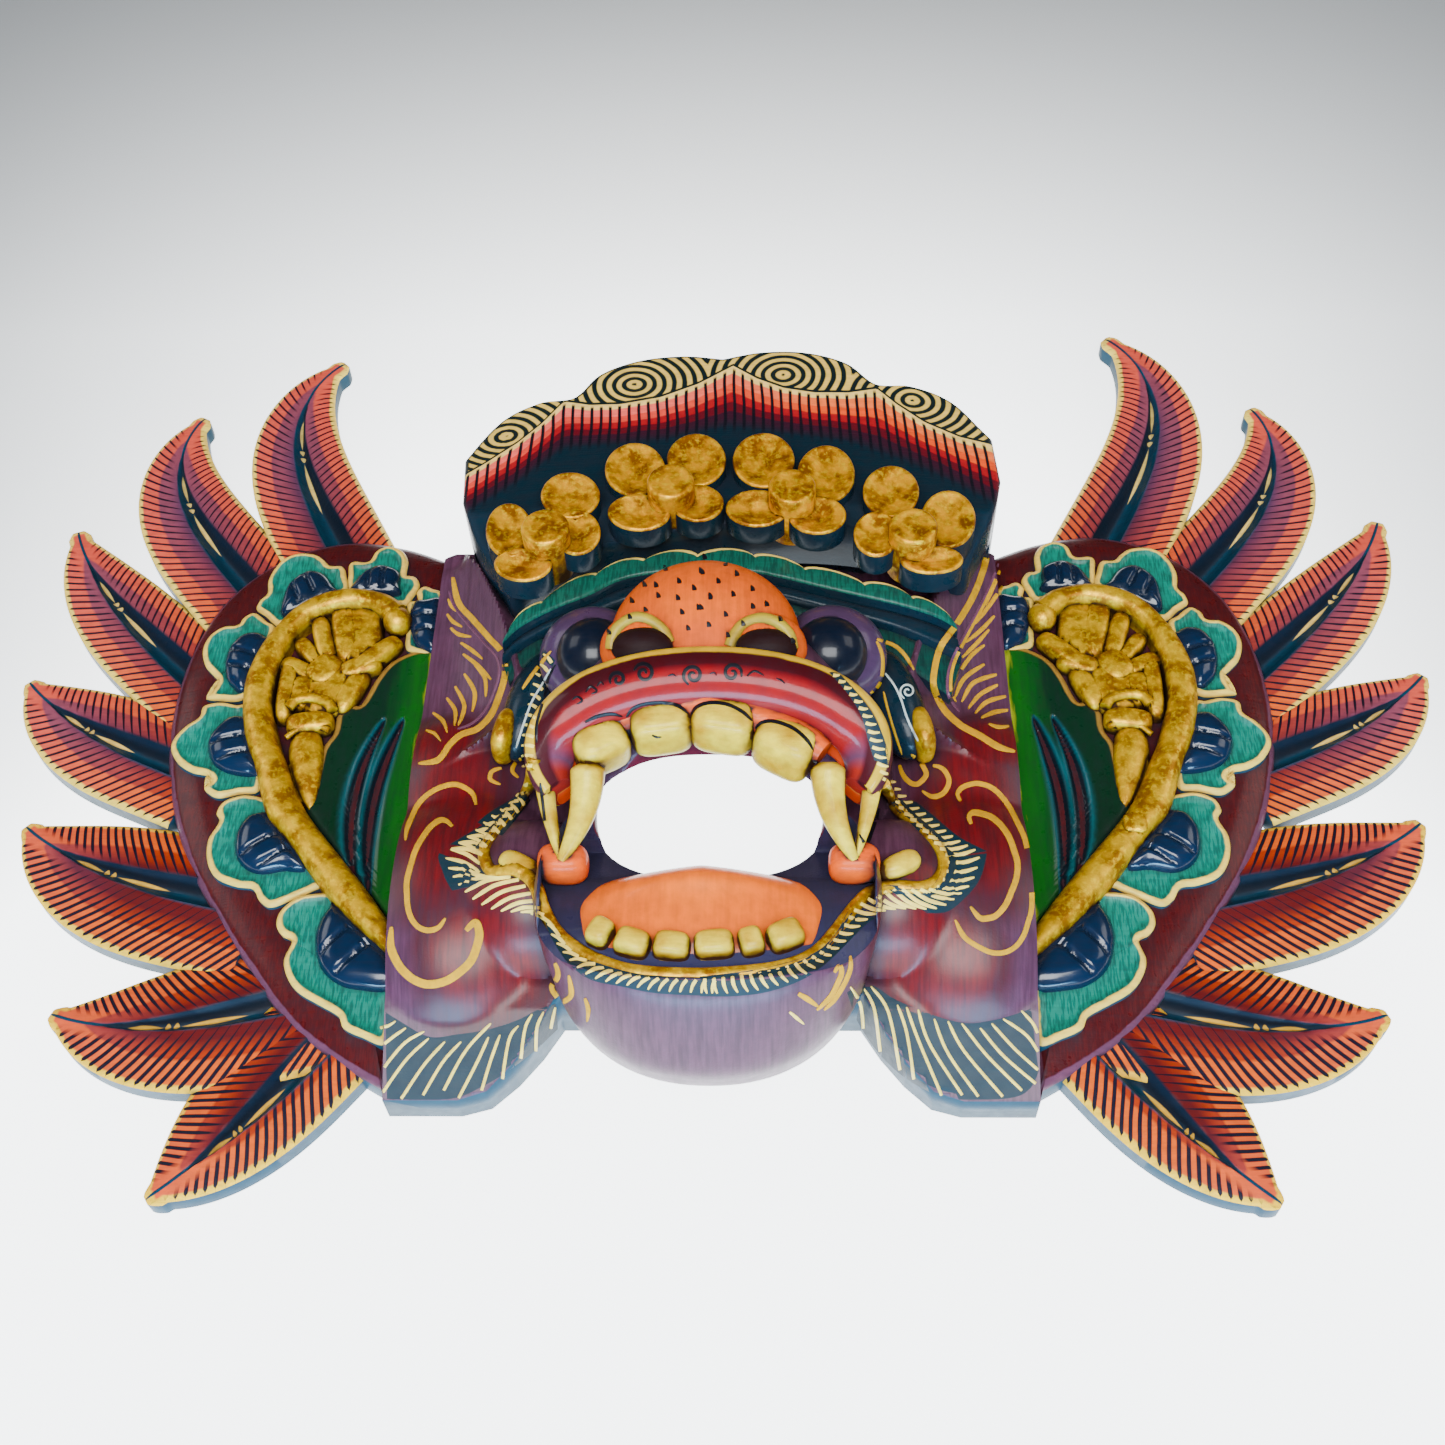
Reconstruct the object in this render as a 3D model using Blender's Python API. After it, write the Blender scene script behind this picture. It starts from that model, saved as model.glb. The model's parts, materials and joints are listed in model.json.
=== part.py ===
"""A barong mask carved in three blocks of wood: the face, and a feathered wing on each side of it.

The mask lies on its back. X runs across it, Y from chin to crown and Z out of the face.
Every size below is in millimetres, and MM turns it into Blender's metres. A point of the plan
is a complex number, x + y * 1j. The points of a wing are measured from its seam with the face.
"""

import cmath
import math

import bmesh
import bpy
from mathutils import Matrix, Vector

MM = 0.001
LEFT, RIGHT = -1, 1
FLAT_ANGLE = math.radians(5.0)

# Blocks
FACE_HALF_WIDTH = 100.0
SEAM_GAP = 0.3
CHIN_Y = -153.0
JAW_Y = -103.0
CROWN_Y = 137.0
CROWN_SHIFT = 4.5
CROWN_TILT = 3.5
SKIRT_Y = -151.0
EAR_TOP = 84.0
NOSE_SHIFT = -2.0
SKIRT_DEPTH = 13.0
CHEEK_DEPTH = 28.0
BROW_DEPTH = 43.0
CROWN_DEPTH = 44.0
VISOR_DEPTH = 61.0
LIP_DEPTH = 93.0
RIM_DEPTH = 66.0

# The saws that cut the blocks straight reach past every form
SAW_REACH = 220.0
SAW_DEPTH = 20.0

# Hollows
HOLLOW_HALF_WIDTH = 66.0
HOLLOW_DEPTH = 36.0
MOUTH_HALF_WIDTH = 34.0

# Flowers of the crown
FLOWER_RADIUS = 22.0
FLOWER_DEPTH = 70.0
BUTTON_RADIUS = 7.0
BUTTON_HEIGHT = 8.0

# Eyes, nose, lip and teeth
EYE_RADIUS = 12.0
LID_WIDTH = 4.5
EYE_SPREAD = 40.0
EYE_DEPTH = 70.0
NOSE_HALF_WIDTH = 32.0
NOSE_DEPTH = 90.0
NOSTRIL_RADIUS = 8.5
LIP_RADIUS = 10.0
TOOTH_WIDTH = 17.5
TOOTH_LENGTH = 15.0
LOWER_TOOTH_WIDTH = 11.0
FANG_RADIUS = 4.2
RIM_RADIUS = 2.4

# Wings
DISC_EDGE = 9.5
DISC_CROWN = 13.0
DISC_ROUNDING = 9.0
FEATHER_EDGE = 7.5
FEATHER_TUCK = 2.0
MIDRIB_RISE = 1.8
GROOVE_DEPTH = 4.5
GROOVE_HALF_WIDTH = 3.6
GROOVE_END = 0.88
FEATHER_TIP_RADIUS = 1.6
LOBE_DEPTH = 16.5
BEAD_DEPTH = 19.0
RIDGE_RADIUS = 3.8
RIDGE_DEPTH = 22.5
LEAF_DEPTH = 15.5
FOLIAGE_DEPTH = 18.0
FOLIAGE_FINGER_RADIUS = 4.2

# How far a feather's curl gathers at its tip, and how its half width falls from root to tip
CURL = 2.2
TAPER_START = 2.6
TAPER_END = 0.9
FEATHER_SHARES = (-0.3, 0.32, 0.58, 0.78, 0.92, 1.0)
# Root and tip, curl in degrees, half width towards the crown and half width away from it
FEATHERS = (
    (47 + 79j, 56 + 180j, 75, 19, 23),
    (81 + 61j, 109 + 144.5j, 70, 20, 23),
    (97.5 + 20j, 148 + 84.5j, 27, 19, 20),
    (96 - 22j, 150 + 12.5j, 28, 21, 22),
    (70.5 - 76.5j, 136.5 - 49j, 30, 23, 27),
    (36 - 116j, 111.5 - 119.5j, 38, 24, 26),
    (26 - 136j, 68.5 - 180.5j, 18, 25, 18),
)
# The carver's top feather stands a little higher on the right wing than on the left
TOP_FEATHER_RISE = {LEFT: -5j, RIGHT: 5j}

# The two ends of each lobe's foot and its top, from the top of the wing to the bottom
LOBES = (
    (-14 + 26j, 6 + 38j, -3 + 52j),
    (6 + 40j, 33 + 47.5j, 21 + 65j),
    (35 + 46.5j, 62 + 36j, 55 + 63j),
    (60 + 31.5j, 68 + 1j, 85 + 23j),
    (68 - 4j, 53.5 - 41j, 88 - 21.5j),
    (52 - 45j, 30.5 - 79.5j, 69.5 - 66j),
    (27 - 85j, 1 - 133j, 36 - 106.5j),
)
DISC_RIM = (
    -6 + 62j, 18 + 72.5j, 43 + 75.5j, 68 + 65j, 86 + 42j, 93.5 + 8j, 90 - 30j, 76 - 66j, 52 - 101j,
    29 - 128j, -6 - 153j,
)
RIDGE_PATH = (
    15 + 27j, 14 + 34j, 23 + 40j, 34.5 + 41.5j, 52.5 + 30.5j, 60.5 + 6j, 52 - 30j, 29.5 - 70j,
    -6 - 112j,
)
LEAF_EDGE = (
    -6 + 20j, 5 + 16j, 14 + 10j, 21.5 + 0j, 23.5 - 12j, 28 - 23j, 30.5 - 41j, 27 - 60j, 14 - 84j,
    -6 - 108j,
)
LEAF_GROOVES = ((6 - 8j, 18 - 58j), (2 - 16j, 8 - 66j))
FOLIAGE_EDGE = (
    10 + 22j, 20 + 33j, 34 + 36.5j, 47 + 30j, 54.5 + 16j, 56 + 2j, 52 - 16j, 45 - 32j, 34 - 54j,
    28 - 46j, 27 - 26j, 23 - 12j, 21 + 1j, 13 + 11j,
)
# Foot and tip of each finger of the gold foliage
FOLIAGE_FINGERS = (
    (34 + 12j, 16 + 18j), (35 + 15j, 24 + 30j), (38 + 16j, 38 + 33j), (42 + 14j, 50 + 25j),
    (44 + 8j, 54 + 8j), (37 - 8j, 50 - 6j), (38 - 16j, 34 - 50j),
)


def lift(point, z, side=RIGHT):
    """A point of the plan at height z, mirrored for the left side."""
    return Vector((side * point.real, point.imag, z)) * MM


def smooth(points, spans, closed=False):
    """A Catmull-Rom curve through the points, with this many spans between neighbours."""
    count = len(points)
    last = count if closed else count - 1
    curve = []
    for index in range(last):
        if closed:
            before, start, end, after = (points[(index + step) % count] for step in (-1, 0, 1, 2))
        else:
            start, end = points[index], points[index + 1]
            before = points[index - 1] if index else start
            after = points[index + 2] if index + 2 < count else end
        for step in range(spans):
            t = step / spans
            curve.append(0.5 * (2 * start + (end - before) * t
                                + (2 * before - 5 * start + 4 * end - after) * t ** 2
                                + (3 * start - before - 3 * end + after) * t ** 3))
    return curve if closed else curve + [points[-1]]


def place(name, mesh, group):
    """One object for the mesh. A shape outside the mask's own group is a guide for a Boolean."""
    shape = bpy.data.objects.new(name, mesh)
    group.objects.link(shape)
    shape.parent = frame
    if group is not mask:
        shape.hide_render = True
        shape.display_type = "WIRE"
    return shape


def closed_mesh(name, form):
    """The bmesh as a mesh whose faces all point outwards."""
    bmesh.ops.recalc_face_normals(form, faces=form.faces)
    mesh = bpy.data.meshes.new(name)
    form.to_mesh(mesh)
    form.free()
    return mesh


def loft(name, group, rings):
    """A closed skin over rings that have the same number of corners."""
    form = bmesh.new()
    loops = [[form.verts.new(corner) for corner in ring] for ring in rings]
    for low, high in zip(loops, loops[1:]):
        for index, corner in enumerate(low):
            after = (index + 1) % len(low)
            form.faces.new((corner, low[after], high[after], high[index]))
    form.faces.new(loops[0])
    form.faces.new(loops[-1])
    bmesh.ops.triangulate(form, faces=form.faces)
    return place(name, closed_mesh(name, form), group)


def ball(name, group, centre, radii, turn=0.0, segments=12, rings=7):
    """An ellipsoid with its centre and radii in millimetres, turned about the Z axis."""
    form = bmesh.new()
    stretch = Matrix.Diagonal((*(Vector(radii) * MM), 1.0))
    matrix = Matrix.Translation(Vector(centre) * MM) @ Matrix.Rotation(turn, 4, "Z") @ stretch
    bmesh.ops.create_uvsphere(form, u_segments=segments, v_segments=rings, radius=1.0, matrix=matrix)
    return place(name, closed_mesh(name, form), group)


def as_mesh(name, curve, group):
    """The curve's solid as a welded mesh, because a curve takes no Boolean."""
    guide = bpy.data.objects.new(name, curve)
    mask.objects.link(guide)
    bpy.context.view_layer.update()
    solid = guide.evaluated_get(bpy.context.evaluated_depsgraph_get())
    form = bmesh.new()
    form.from_mesh(bpy.data.meshes.new_from_object(solid))
    bpy.data.objects.remove(guide)
    bmesh.ops.remove_doubles(form, verts=form.verts, dist=1e-6)
    return place(name, closed_mesh(name, form), group)


def plate(name, group, outline, low, high, side=RIGHT):
    """A flat outline of the plan, solid from one height to the other."""
    curve = bpy.data.curves.new(name, "CURVE")
    curve.dimensions = "2D"
    curve.fill_mode = "BOTH"
    curve.extrude = (high - low) / 2 * MM
    spline = curve.splines.new("POLY")
    spline.points.add(len(outline) - 1)
    for corner, point in zip(spline.points, outline):
        corner.co = (*lift(point, 0, side), 1.0)
    spline.use_cyclic_u = True
    shape = as_mesh(name, curve, group)
    shape.location.z = (high + low) / 2 * MM
    return shape


def rectangle(left, right, reach, top=None):
    """A rectangle of the plan, as long as this reach both ways unless its top is given."""
    top = reach if top is None else top
    return [complex(left, -reach), complex(right, -reach), complex(right, top), complex(left, top)]


def rod(name, group, points, radii, resolution=1):
    """A round bar through the points, with its own radius at each."""
    curve = bpy.data.curves.new(name, "CURVE")
    curve.dimensions = "3D"
    curve.bevel_depth = MM
    curve.bevel_resolution = resolution
    curve.use_fill_caps = True
    spline = curve.splines.new("POLY")
    spline.points.add(len(points) - 1)
    for corner, point, radius in zip(spline.points, points, radii):
        corner.co = (*point, 1.0)
        corner.radius = radius
    return as_mesh(name, curve, group)


def combine(body, operation, guides):
    """Join the guides to the body, or cut them from it.

    The exact solver leaves open edges where so many rounded shapes meet, and this one doesn't.
    """
    boolean = body.modifiers.new(guides.name, "BOOLEAN")
    boolean.operation = operation
    boolean.solver = "MANIFOLD"
    boolean.operand_type = "COLLECTION"
    boolean.collection = guides


def guide_group(name):
    """A collection for shapes that only join or cut."""
    group = bpy.data.collections.new(name)
    bpy.context.scene.collection.children.link(group)
    return group


def paint(shape, name, colour, roughness):
    """The node's own lacquer, on a mesh without needless corners in its flat parts."""
    flatten = shape.modifiers.new("flat parts", "DECIMATE")
    flatten.decimate_type = "DISSOLVE"
    flatten.angle_limit = FLAT_ANGLE
    material = bpy.data.materials.new(name)
    material.use_nodes = True
    surface = material.node_tree.nodes["Principled BSDF"]
    surface.inputs["Base Color"].default_value = (*colour, 1.0)
    surface.inputs["Roughness"].default_value = roughness
    surface.inputs["Metallic"].default_value = 0.0
    shape.data.materials.append(material)


# Wings

def seam(point):
    """A wing's point, which is measured from the seam, on the mask's own plan."""
    return point + FACE_HALF_WIDTH + SEAM_GAP


def feather_stations(root, tip, curl, towards, away, shares):
    """Midrib point, heading and both half widths of a feather at each share of its length."""
    fine = 60
    steps = [cmath.rect(1.0, math.radians(curl) * ((index + 0.5) / fine) ** CURL)
             for index in range(fine)]
    path = [sum(steps[:index]) for index in range(fine + 1)]
    fit = (tip - root) / path[-1]
    for share in shares:
        index = min(max(int(share * fine), 0), fine - 1)
        point = path[index] + steps[index] * (share * fine - index)
        fall = (1 - max(share, 0.0) ** TAPER_START) ** TAPER_END
        yield (seam(root + point * fit), steps[index] * fit / abs(fit),
               max(towards * fall, FEATHER_TIP_RADIUS), max(away * fall, FEATHER_TIP_RADIUS))


def wing_feathers(side):
    """The seven feathers' sizes, with the top one of that side."""
    root, tip, *rest = FEATHERS[0]
    return ((root, tip + TOP_FEATHER_RISE[side], *rest), *FEATHERS[1:])


def add_feather(name, group, sizes, depth, side):
    """A leaf-shaped feather with a tapered groove along its midrib."""
    rings = []
    for share, station in zip(FEATHER_SHARES, feather_stations(*sizes, FEATHER_SHARES)):
        point, heading, towards, away = station
        groove = max(GROOVE_HALF_WIDTH * (1 - share ** 2), FEATHER_TIP_RADIUS * 0.4)
        hollow = GROOVE_DEPTH * (1 - (share / GROOVE_END) ** 3)
        crest = FEATHER_EDGE + MIDRIB_RISE * (1 - share ** 3) + 0.2
        rings.append([lift(point + heading * 1j * across, z, side) for across, z in (
            (-away, -depth), (-away, FEATHER_EDGE), (-groove, crest), (0, crest - max(hollow, -0.4)),
            (groove, crest), (towards, FEATHER_EDGE - FEATHER_TUCK * (1 - share)), (towards, -depth))])
    loft(name, group, rings)


def trefoil(foot_start, foot_end, top, count):
    """Outline of a three-lobed scallop: the outer edge of a large circle and two small ones."""
    middle = (foot_start + foot_end) / 2
    along = (foot_end - foot_start) / 2
    half = abs(along)
    along /= half
    rise = (top - middle) / along
    height = abs(rise.imag)
    up = along * (1j if rise.imag > 0 else -1j)
    lean = rise.real
    circles = ((lean * 0.75, height * 0.60, height * 0.40), (-half * 0.66, height * 0.24, half * 0.34),
               (half * 0.66, height * 0.24, half * 0.34))
    outline = []
    for index in range(count + 1):
        ray = cmath.rect(1.0, math.pi * index / count)
        reach = half * 0.8
        for x, y, radius in circles:
            along_ray = x * ray.real + y * ray.imag
            off_ray = x * ray.imag - y * ray.real
            if abs(off_ray) < radius:
                reach = max(reach, along_ray + math.sqrt(radius ** 2 - off_ray ** 2))
        outline.append(middle + along * ray.real * reach + up * ray.imag * reach)
    return outline, middle + up * height * 0.12, along, height


def add_lobe(name, group, foot_start, foot_end, top, side):
    """A scallop with a round bead at its foot."""
    outline, centre, along, height = trefoil(seam(foot_start), seam(foot_end), seam(top), 12)
    rings = [[lift(centre + (point - centre) * share, z, side) for point in outline]
             for share, z in ((1.0, 2.0), (1.0, LOBE_DEPTH - 2.5), (0.78, LOBE_DEPTH))]
    loft(name, group, rings)
    half = abs(foot_end - foot_start) / 2
    turn = cmath.phase(along)
    ball(name + "_bead", group, (side * centre.real, centre.imag, BEAD_DEPTH - 8),
         (half * 0.58, height * 0.52, 8), side * turn, 7, 4)


def build_wing(name, side):
    """Rim disc, feathers, scallops, gold ridge and foliage, and the green leaf, all one block."""
    joined = guide_group(name + " carving")
    trimmed = guide_group(name + " saw cuts")
    rim = [seam(point) for point in smooth(DISC_RIM, 2)]
    centre = seam(35 - 25j)
    rings = [[lift(centre + (point - centre) * share, z, side) for point in rim]
             for share, z in ((1.0, -3.0), (1.0, DISC_EDGE),
                              (1 - DISC_ROUNDING / abs(rim[0] - centre), DISC_CROWN))]
    wing = loft(name, mask, rings)
    for index, sizes in enumerate(wing_feathers(side)):
        add_feather(f"{name}_feather_{index + 1}", joined, sizes, 4 + 0.3 * index, side)
    for index, lobe in enumerate(LOBES):
        add_lobe(f"{name}_lobe_{index + 1}", joined, *lobe, side)
    leaf = [seam(point) for point in LEAF_EDGE]
    plate(name + "_leaf", joined, leaf, 1.0, LEAF_DEPTH, side)
    foliage = [seam(point) for point in FOLIAGE_EDGE]
    plate(name + "_foliage", joined, foliage, 0.5, FOLIAGE_DEPTH - 2, side)
    for index, (foot, tip) in enumerate(FOLIAGE_FINGERS):
        middle = seam((foot + tip) / 2)
        length = abs(tip - foot) / 2 + FOLIAGE_FINGER_RADIUS
        ball(f"{name}_finger_{index + 1}", joined, (side * middle.real, middle.imag, FOLIAGE_DEPTH - 3),
             (length, FOLIAGE_FINGER_RADIUS, 5), side * cmath.phase(tip - foot), 6, 3)
    path = [seam(point) for point in smooth(RIDGE_PATH, 2)]
    swell = [RIDGE_RADIUS * (1.25 if index == 0 else 1.0) for index in range(len(path))]
    rod(name + "_ridge", joined, [lift(point, RIDGE_DEPTH - RIDGE_RADIUS, side) for point in path], swell)
    for index, (start, end) in enumerate(LEAF_GROOVES):
        reach = seam(start), seam((start + end) / 2), seam(end)
        rod(f"{name}_groove_{index + 1}", trimmed,
            [lift(point, LEAF_DEPTH + 0.7, side) for point in reach], (0.9, 2.6, 0.9), 0)
    outside = FACE_HALF_WIDTH + SEAM_GAP
    plate(name + "_saw_side", trimmed, rectangle(0, outside, SAW_REACH), -SAW_DEPTH, 3 * SAW_DEPTH, side)
    plate(name + "_saw_back", trimmed, rectangle(outside - SAW_DEPTH / 2, 3 * outside, SAW_REACH + SAW_DEPTH),
          1 - SAW_DEPTH, 0, side)
    combine(wing, "UNION", joined)
    combine(wing, "DIFFERENCE", trimmed)
    paint(wing, name + " lacquer", (0.20, 0.02, 0.03), 0.3)


# Face

def mirrored(half):
    """A whole outline from its right half, which runs from the top of the mask to the bottom."""
    return half + [complex(-point.real, point.imag) for point in reversed(half)]


def oval(centre, half_width, half_length, z, count=20, power=2.0):
    """A ring of the plan at one height, squarer than an ellipse where the power is above 2."""
    ring = []
    for index in range(count):
        angle = 2 * math.pi * (index + 0.5) / count
        x, y = math.cos(angle), math.sin(angle)
        reach = (abs(x) ** power + abs(y) ** power) ** (-1 / power)
        ring.append(lift(centre + complex(x * reach * half_width, y * reach * half_length), z))
    return ring


def section(y, corners):
    """A ring across the mask at one y, from (x, z) corners."""
    return [Vector((x, y, z)) * MM for x, z in corners]


def slope(name, profile, drop=0.0):
    """A guide whose top follows the (y, z) profile and falls by this drop towards both sides."""
    group = guide_group(name)
    reach = FACE_HALF_WIDTH + 20
    rings = [section(y, ((-reach, -10), (-reach, z - drop), (-reach / 2, z - drop / 5), (0, z),
                         (reach / 2, z - drop / 5), (reach, z - drop), (reach, -10)))
             for y, z in profile]
    loft(name + " guide", group, rings)
    return group


def add_board(group):
    """Foot of the face: the outline that the block was sawn to, sloped down to its skirt."""
    edge = FACE_HALF_WIDTH + 5
    half = [86 + 40j, complex(edge, 56), complex(edge, SKIRT_Y), 77 + SKIRT_Y * 1j,
            64 + (SKIRT_Y + 6) * 1j, 54 + (SKIRT_Y + 17) * 1j, 47 + (SKIRT_Y + 29) * 1j]
    board = plate("board", group, mirrored(half), -3, 60)
    profile = ((90, CHEEK_DEPTH - 2), (SKIRT_Y + 32, CHEEK_DEPTH), (SKIRT_Y + 24, CHEEK_DEPTH - 3),
               (SKIRT_Y - 1, SKIRT_DEPTH), (SKIRT_Y - 20, SKIRT_DEPTH - 4))
    combine(board, "INTERSECT", slope("skirt slope", profile))


def add_crown(group):
    """Scalloped crown that leans forward to the visor over the brow."""
    top = [0 + CROWN_Y * 1j, 15 + 140j, 32 + 138.5j, 47 + 131j, 57 + 118j, 71 + 116.5j, 85 + 107j,
           96 + 86j]
    side = [95 + 60j, 90 + 43j, 82 + 28j, 76 + 20j]
    visor = [60 + 29j, 40 + 35.5j, 20 + 38.5j, 0 + 39.5j]
    lean = cmath.rect(1.0, math.radians(CROWN_TILT))
    pivot = complex(0, 80)
    outline = [pivot + (point - pivot) * lean + CROWN_SHIFT for point in mirrored(top + side + visor)]
    crown = plate("crown", group, outline, -4, 90)
    profile = ((160, CROWN_DEPTH - 2), (CROWN_Y, CROWN_DEPTH), (100, 49), (65, 57), (47, VISOR_DEPTH),
               (36, VISOR_DEPTH - 2), (10, VISOR_DEPTH - 8))
    combine(crown, "INTERSECT", slope("crown slope", profile, 5.0))


def add_brow(group):
    """Three steps below the visor: the scalloped band, the plain band and the brow."""
    steps = ((80, 8, 36, 28, 51, "scallop_band"), (76, -6, 38, 17, 46.5, "plain_band"),
             (70, -24, 40, 6, BROW_DEPTH, "brow"))
    for half_width, low_side, high, low_middle, depth, name in steps:
        lower = [complex(half_width * share, low_side + (low_middle - low_side) * (1 - share ** 2))
                 for share in (1.0, 0.75, 0.5, 0.25, 0.0)]
        outline = [point + CROWN_SHIFT * 0.5 for point in mirrored([complex(half_width - 2, high)] + lower)]
        plate(name, group, outline, -1 - depth / 20, depth)
    for index in range(9):
        across = (index - 4) * 17.0
        y = 33 - 22 * (across / 80) ** 2
        ball(f"scallop_{index + 1}", group, (across + CROWN_SHIFT, y, 49), (8.2, 6, 4.5), 0, 6, 3)


def add_flowers(group):
    """Four flowers in relief, each of four petals around a raised button."""
    for across, y, turn in ((-61, 28, 14), (-22, 48, 6), (22, 50, -6), (61, 29, -14)):
        middle = complex(across + CROWN_SHIFT, y)
        for quarter in range(4):
            angle = math.radians(45 + 90 * quarter + turn)
            petal = middle + cmath.rect(FLOWER_RADIUS * 0.55, angle)
            rings = [oval(petal, FLOWER_RADIUS * share, FLOWER_RADIUS * share, z, 7)
                     for share, z in ((0.42, 50), (0.46, FLOWER_DEPTH - 2), (0.36, FLOWER_DEPTH))]
            loft(f"petal_{across}_{quarter}", group, rings)
        rings = [oval(middle, BUTTON_RADIUS * share, BUTTON_RADIUS * share, FLOWER_DEPTH + z, 8)
                 for share, z in ((1.4, -24), (1.4, -3), (1.0, -2), (1.0, BUTTON_HEIGHT - 3),
                                  (0.75, BUTTON_HEIGHT - 1))]
        loft(f"button_{across}", group, rings)


def add_muzzle(group):
    """Snout and lower jaw as stacks of ovals."""
    snout = [oval(0 + y * 1j, half_width, half_length, z, 18, 2.4) for y, half_width, half_length, z in (
        (-40, 60, 46, -4), (-38, 57, 42, 34), (-36, 48, 30, 58), (-38, 36, 22, NOSE_DEPTH - 12))]
    loft("snout", group, snout)
    jaw = [oval(0 + JAW_Y * 1j, half_width, JAW_Y - CHIN_Y - back, z, 18, 2.2)
           for half_width, back, z in ((40, 16, -5), (47, 4.5, 18), (50, 0.5, 38), (52, 7, 56),
                                       (50, 16.5, RIM_DEPTH))]
    loft("jaw", group, jaw)


def add_cheeks(group):
    """Round cheeks, the mouth's corners and the ears."""
    for side in (LEFT, RIGHT):
        edge = FACE_HALF_WIDTH + 6
        ball("cheek", group, (side * 80, -88, 16), (36, 42, 27), 0, 12, 6)
        ball("cheek_top", group, (side * 84, -42, 16), (28, 30, 20), 0, 8, 4)
        ball("mouth_corner", group, (side * 56, -90, 26), (24, 26, 24), 0, 8, 4)
        ear = []
        for y, inner, low, high in ((56, 95, 24, 27), (38, 84, 25, 40), (20, 76, 26, 43), (0, 69, 27, 44),
                                    (-18, 64, 28, 45), (-32, 70, 29, 43), (-46, 90, 29, 34)):
            dish = (inner + edge) / 2
            corners = ((inner, 2), (inner, high - 2), (inner + 4, high), (dish, (low + high) / 2 - 3),
                       (edge, low), (edge, 2))
            ear.append(section(y, [(side * x, z) for x, z in corners]))
        loft("ear", group, ear)


def add_eyes(group):
    """Bulging eyes in thick lids, on both sides of the nose."""
    for side in (LEFT, RIGHT):
        lid = EYE_RADIUS + LID_WIDTH
        ball("lid", group, (side * EYE_SPREAD, -20, EYE_DEPTH - 22), (lid, lid + 1, 19), 0, 10, 6)
        ball("eye", group, (side * (EYE_SPREAD - 2), -22, EYE_DEPTH - 17), (EYE_RADIUS, EYE_RADIUS, 17),
             0, 10, 6)


def add_nose(group):
    """Broad round nose with flared nostrils."""
    centre = (NOSE_SHIFT, -16, NOSE_DEPTH - 26)
    ball("nose", group, centre, (NOSE_HALF_WIDTH - 2, 27, 26), 0, 14, 8)
    for side in (LEFT, RIGHT):
        ball("nose_wing", group, (NOSE_SHIFT + side * 20, -28, NOSE_DEPTH - 13), (12, 10, 11), 0, 8, 4)


def lip_point(share):
    """A point of the upper lip's arch: share is -1 at its left end and 1 at its right end."""
    angle = share * math.radians(112)
    return Vector((47 * math.sin(angle) * (1 + 0.04 * share ** 2), -66 + 21 * math.cos(angle),
                   LIP_DEPTH - LIP_RADIUS - 16 * abs(share) ** 2.5)) * MM


def add_upper_lip(group):
    """Upper lip that arches over the mouth."""
    shares = [-1 + 2 * index / 10 for index in range(11)]
    rod("lip", group, [lip_point(share) for share in shares],
        [LIP_RADIUS * (1 - 0.45 * abs(share) ** 3) for share in shares])


def gum_y(x):
    """The upper teeth stand on this arch."""
    return -57 - 0.009 * (x + 6) ** 2


def add_teeth(group):
    """Gum, upper teeth, fangs, tongue, lower teeth."""
    gum = [-36 + 9 * index for index in range(9)]
    rod("gum", group, [Vector((x, gum_y(x) + 2, LIP_DEPTH - 10 - abs(x) * 0.15)) * MM for x in gum],
        [5.0] * len(gum))
    for index in range(4):
        x = -31.5 + (TOOTH_WIDTH + 0.3) * index
        ball("tooth", group, (x, gum_y(x) - 3.5, LIP_DEPTH - 14.5 - abs(x) * 0.12),
             (TOOTH_WIDTH / 2 + 0.4, TOOTH_LENGTH / 2, 8), -0.018 * (x + 6), 8, 6)
    for side in (LEFT, RIGHT):
        tip = Vector((side * 44, -94, 60)) * MM
        for x, y, z in ((51, -62, 70), (35, -74, 75)):
            start = Vector((side * x, y, z)) * MM
            rod("fang", group, [start, start.lerp(tip, 0.55), tip], (FANG_RADIUS, FANG_RADIUS * 0.9, 2.0),
                0)
        ball("nodule", group, (side * 43, -94, 55), (8, 7, 7), 0, 6, 4)
        ball("corner_tooth", group, (side * 58, -90, 50), (6, 4, 4), 0, 6, 3)
    tongue = []
    for y, half, below_rim in ((-87, 26, 22), (-93, 31, 13), (-104, 34, 7), (-116, 33, 6), (-127, 27, 9)):
        z = RIM_DEPTH - below_rim
        tongue.append(section(y, ((-half, 20), (-half, z - 9), (-half * 0.6, z - 2), (0, z),
                                  (half * 0.6, z - 2), (half, z - 9), (half, 20))))
    loft("tongue", group, tongue)
    for index in range(6):
        x = -33 + (LOWER_TOOTH_WIDTH + 1) * index
        ball(f"lower_tooth_{index + 1}", group, (x, -123.5 + 0.009 * (x + 3) ** 2, RIM_DEPTH - 7),
             (LOWER_TOOTH_WIDTH / 2 + 0.3, 4, 6), 0.018 * (x + 3), 6, 4)


def mouth_rim():
    """Centre line of the raised rim around the whole mouth, right half from the top."""
    return ((52, -52, 70), (58, -62, 62), (66, -78, 52), (70, -88, 47), (66, -95, 46), (57, -94, 50),
            (51, -101, 55), (47, -113, 60), (40, -124, 63), (28, -131, 65), (14, -134, 66), (0, -134.5, 66))


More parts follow.
